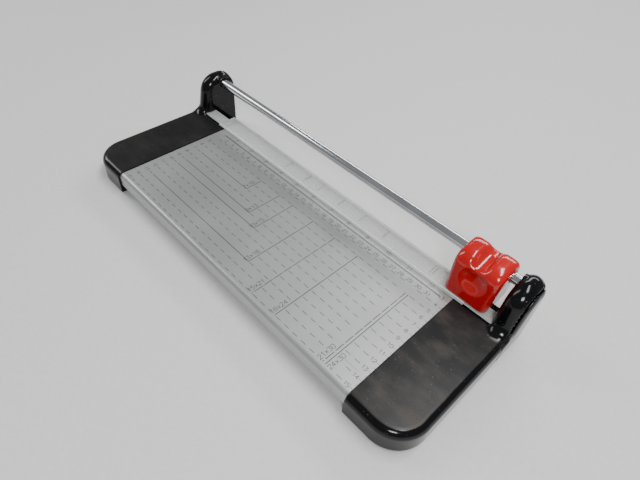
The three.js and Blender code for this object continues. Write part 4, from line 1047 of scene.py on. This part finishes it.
carrier_black = plain_plastic("carrier_black", (0.012, 0.012, 0.013), (0.022, 0.022, 0.023), 0.34)
nylon = plain_plastic("nylon", (0.66, 0.65, 0.60), (0.76, 0.75, 0.71), 0.38)
rubber = plain_plastic("foot_rubber", (0.012, 0.012, 0.012), (0.03, 0.03, 0.03), 0.72)
wire = ground_steel("spring_wire", 0.5, (400, 400, 60))
blade_steel = ground_steel("blade_steel", 0.62, (700, 700, 700))


def dress(names, material):
    """Gives the CAD model's own pieces a material. Their shapes stay as they are."""
    for name in names:
        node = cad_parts[name]
        node.data.materials.clear()
        node.data.materials.append(material)


dress(["head_carrier"], carrier_black)
dress(["press_shoe", "rod_bush_left", "rod_bush_right"], nylon)
dress([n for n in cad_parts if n.startswith("foot_")], rubber)
dress([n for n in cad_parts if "spring" in n], wire)
dress(["rotary_blade", "blade_hub", "blade_clip", "blade_axle"], blade_steel)
dress([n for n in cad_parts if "screw" in n], steel)

# %% [markdown]
# A plain pale floor under the trimmer catches its shadow. It is one big flat sheet.

# %% Floor
def floor_finish():
    f = Finish("floor_paper")
    fibre = f.noise(220.0, 4.0)
    f.feed("Base Color", f.mix(fibre.ramp(0.3, 0.7), rgb(0.66, 0.66, 0.65), rgb(0.69, 0.69, 0.68)))
    f.feed("Roughness", fibre * 0.1 + 0.75)
    return f.material


FLOOR_HALF = 3.0  # metres
FLOOR_CORNERS = ((-1, -1), (1, -1), (1, 1), (-1, 1))
floor_mesh = bpy.data.meshes.new("floor")
floor_points = [(FLOOR_HALF * x, FLOOR_HALF * y, 0) for x, y in FLOOR_CORNERS]
floor_mesh.from_pydata(floor_points, [], [(0, 1, 2, 3)])
floor_mesh.materials.append(floor_finish())
floor = bpy.data.objects.new("floor", floor_mesh)
bpy.context.scene.collection.objects.link(floor)

# %% [markdown]
# A camera is a place, a direction and a lens. It stands in front and to the right, looks down at
# 46 degrees and leans a few degrees to one side.

# %% Camera
CAMERA_PLACE = to_model([259.811, -302.457, 338.819])
CAMERA_AZIMUTH, CAMERA_ELEVATION, CAMERA_ROLL = -42.620, 46.113, -5.0
LENS, SENSOR = 27.972, 36.0


def camera_turn(azimuth, elevation, roll):
    """Looking direction from a compass angle and a downward angle, then a lean about it."""
    a, e = math.radians(azimuth), math.radians(elevation)
    forward = Vector((math.sin(a) * math.cos(e), math.cos(a) * math.cos(e), -math.sin(e)))
    right = forward.cross(Vector((0, 0, 1))).normalized()
    right = Matrix.Rotation(math.radians(roll), 3, forward) @ right
    up = right.cross(forward)
    return Matrix((right, up, -forward)).transposed().to_4x4()


camera_data = bpy.data.cameras.new("camera")
camera_data.lens = LENS
camera_data.sensor_width = SENSOR
camera = bpy.data.objects.new("camera", camera_data)
turn = camera_turn(CAMERA_AZIMUTH, CAMERA_ELEVATION, CAMERA_ROLL)
camera.matrix_world = Matrix.Translation(Vector(CAMERA_PLACE)) @ turn
bpy.context.scene.collection.objects.link(camera)
bpy.context.scene.camera = camera
print("camera at", [round(v, 3) for v in CAMERA_PLACE])

# %% [markdown]
# Soft studio light: one box overhead, a small one in front, one at the left for the sides, a long
# one behind that draws the streaks and rims, and a dim even world so that nothing falls to black.

# %% Lights
def soft_box(name, place, aim, size, power):
    """A rectangular lamp at a place in metres, turned to face a point, with its power in watts."""
    data = bpy.data.lights.new(name, "AREA")
    data.shape = "RECTANGLE"
    data.size, data.size_y = size
    data.energy = power
    lamp = bpy.data.objects.new(name, data)
    lamp.location = place
    direction = Vector(aim) - Vector(place)
    lamp.rotation_mode = "QUATERNION"
    lamp.rotation_quaternion = direction.to_track_quat("-Z", "Y")
    bpy.context.scene.collection.objects.link(lamp)


soft_box("overhead", (0.35, 0.25, 1.3), (0, 0, 0), (0.9, 0.25), 14)
soft_box("front", (0.75, -0.75, 1.0), (0.1, 0, 0), (0.3, 0.3), 9)
soft_box("left", (-1.1, -0.3, 0.8), (0, 0, 0), (0.3, 0.9), 5)
soft_box("rear", (-0.3, 1.4, 0.9), (0, 0, 0), (1.8, 0.25), 12)

world = bpy.data.worlds.new("studio")
world.use_nodes = True
world.node_tree.nodes["Background"].inputs["Color"].default_value = rgb(0.86, 0.88, 0.92)
world.node_tree.nodes["Background"].inputs["Strength"].default_value = 0.28
bpy.context.scene.world = world

# %% The last line
bpy.context.view_layer.update()
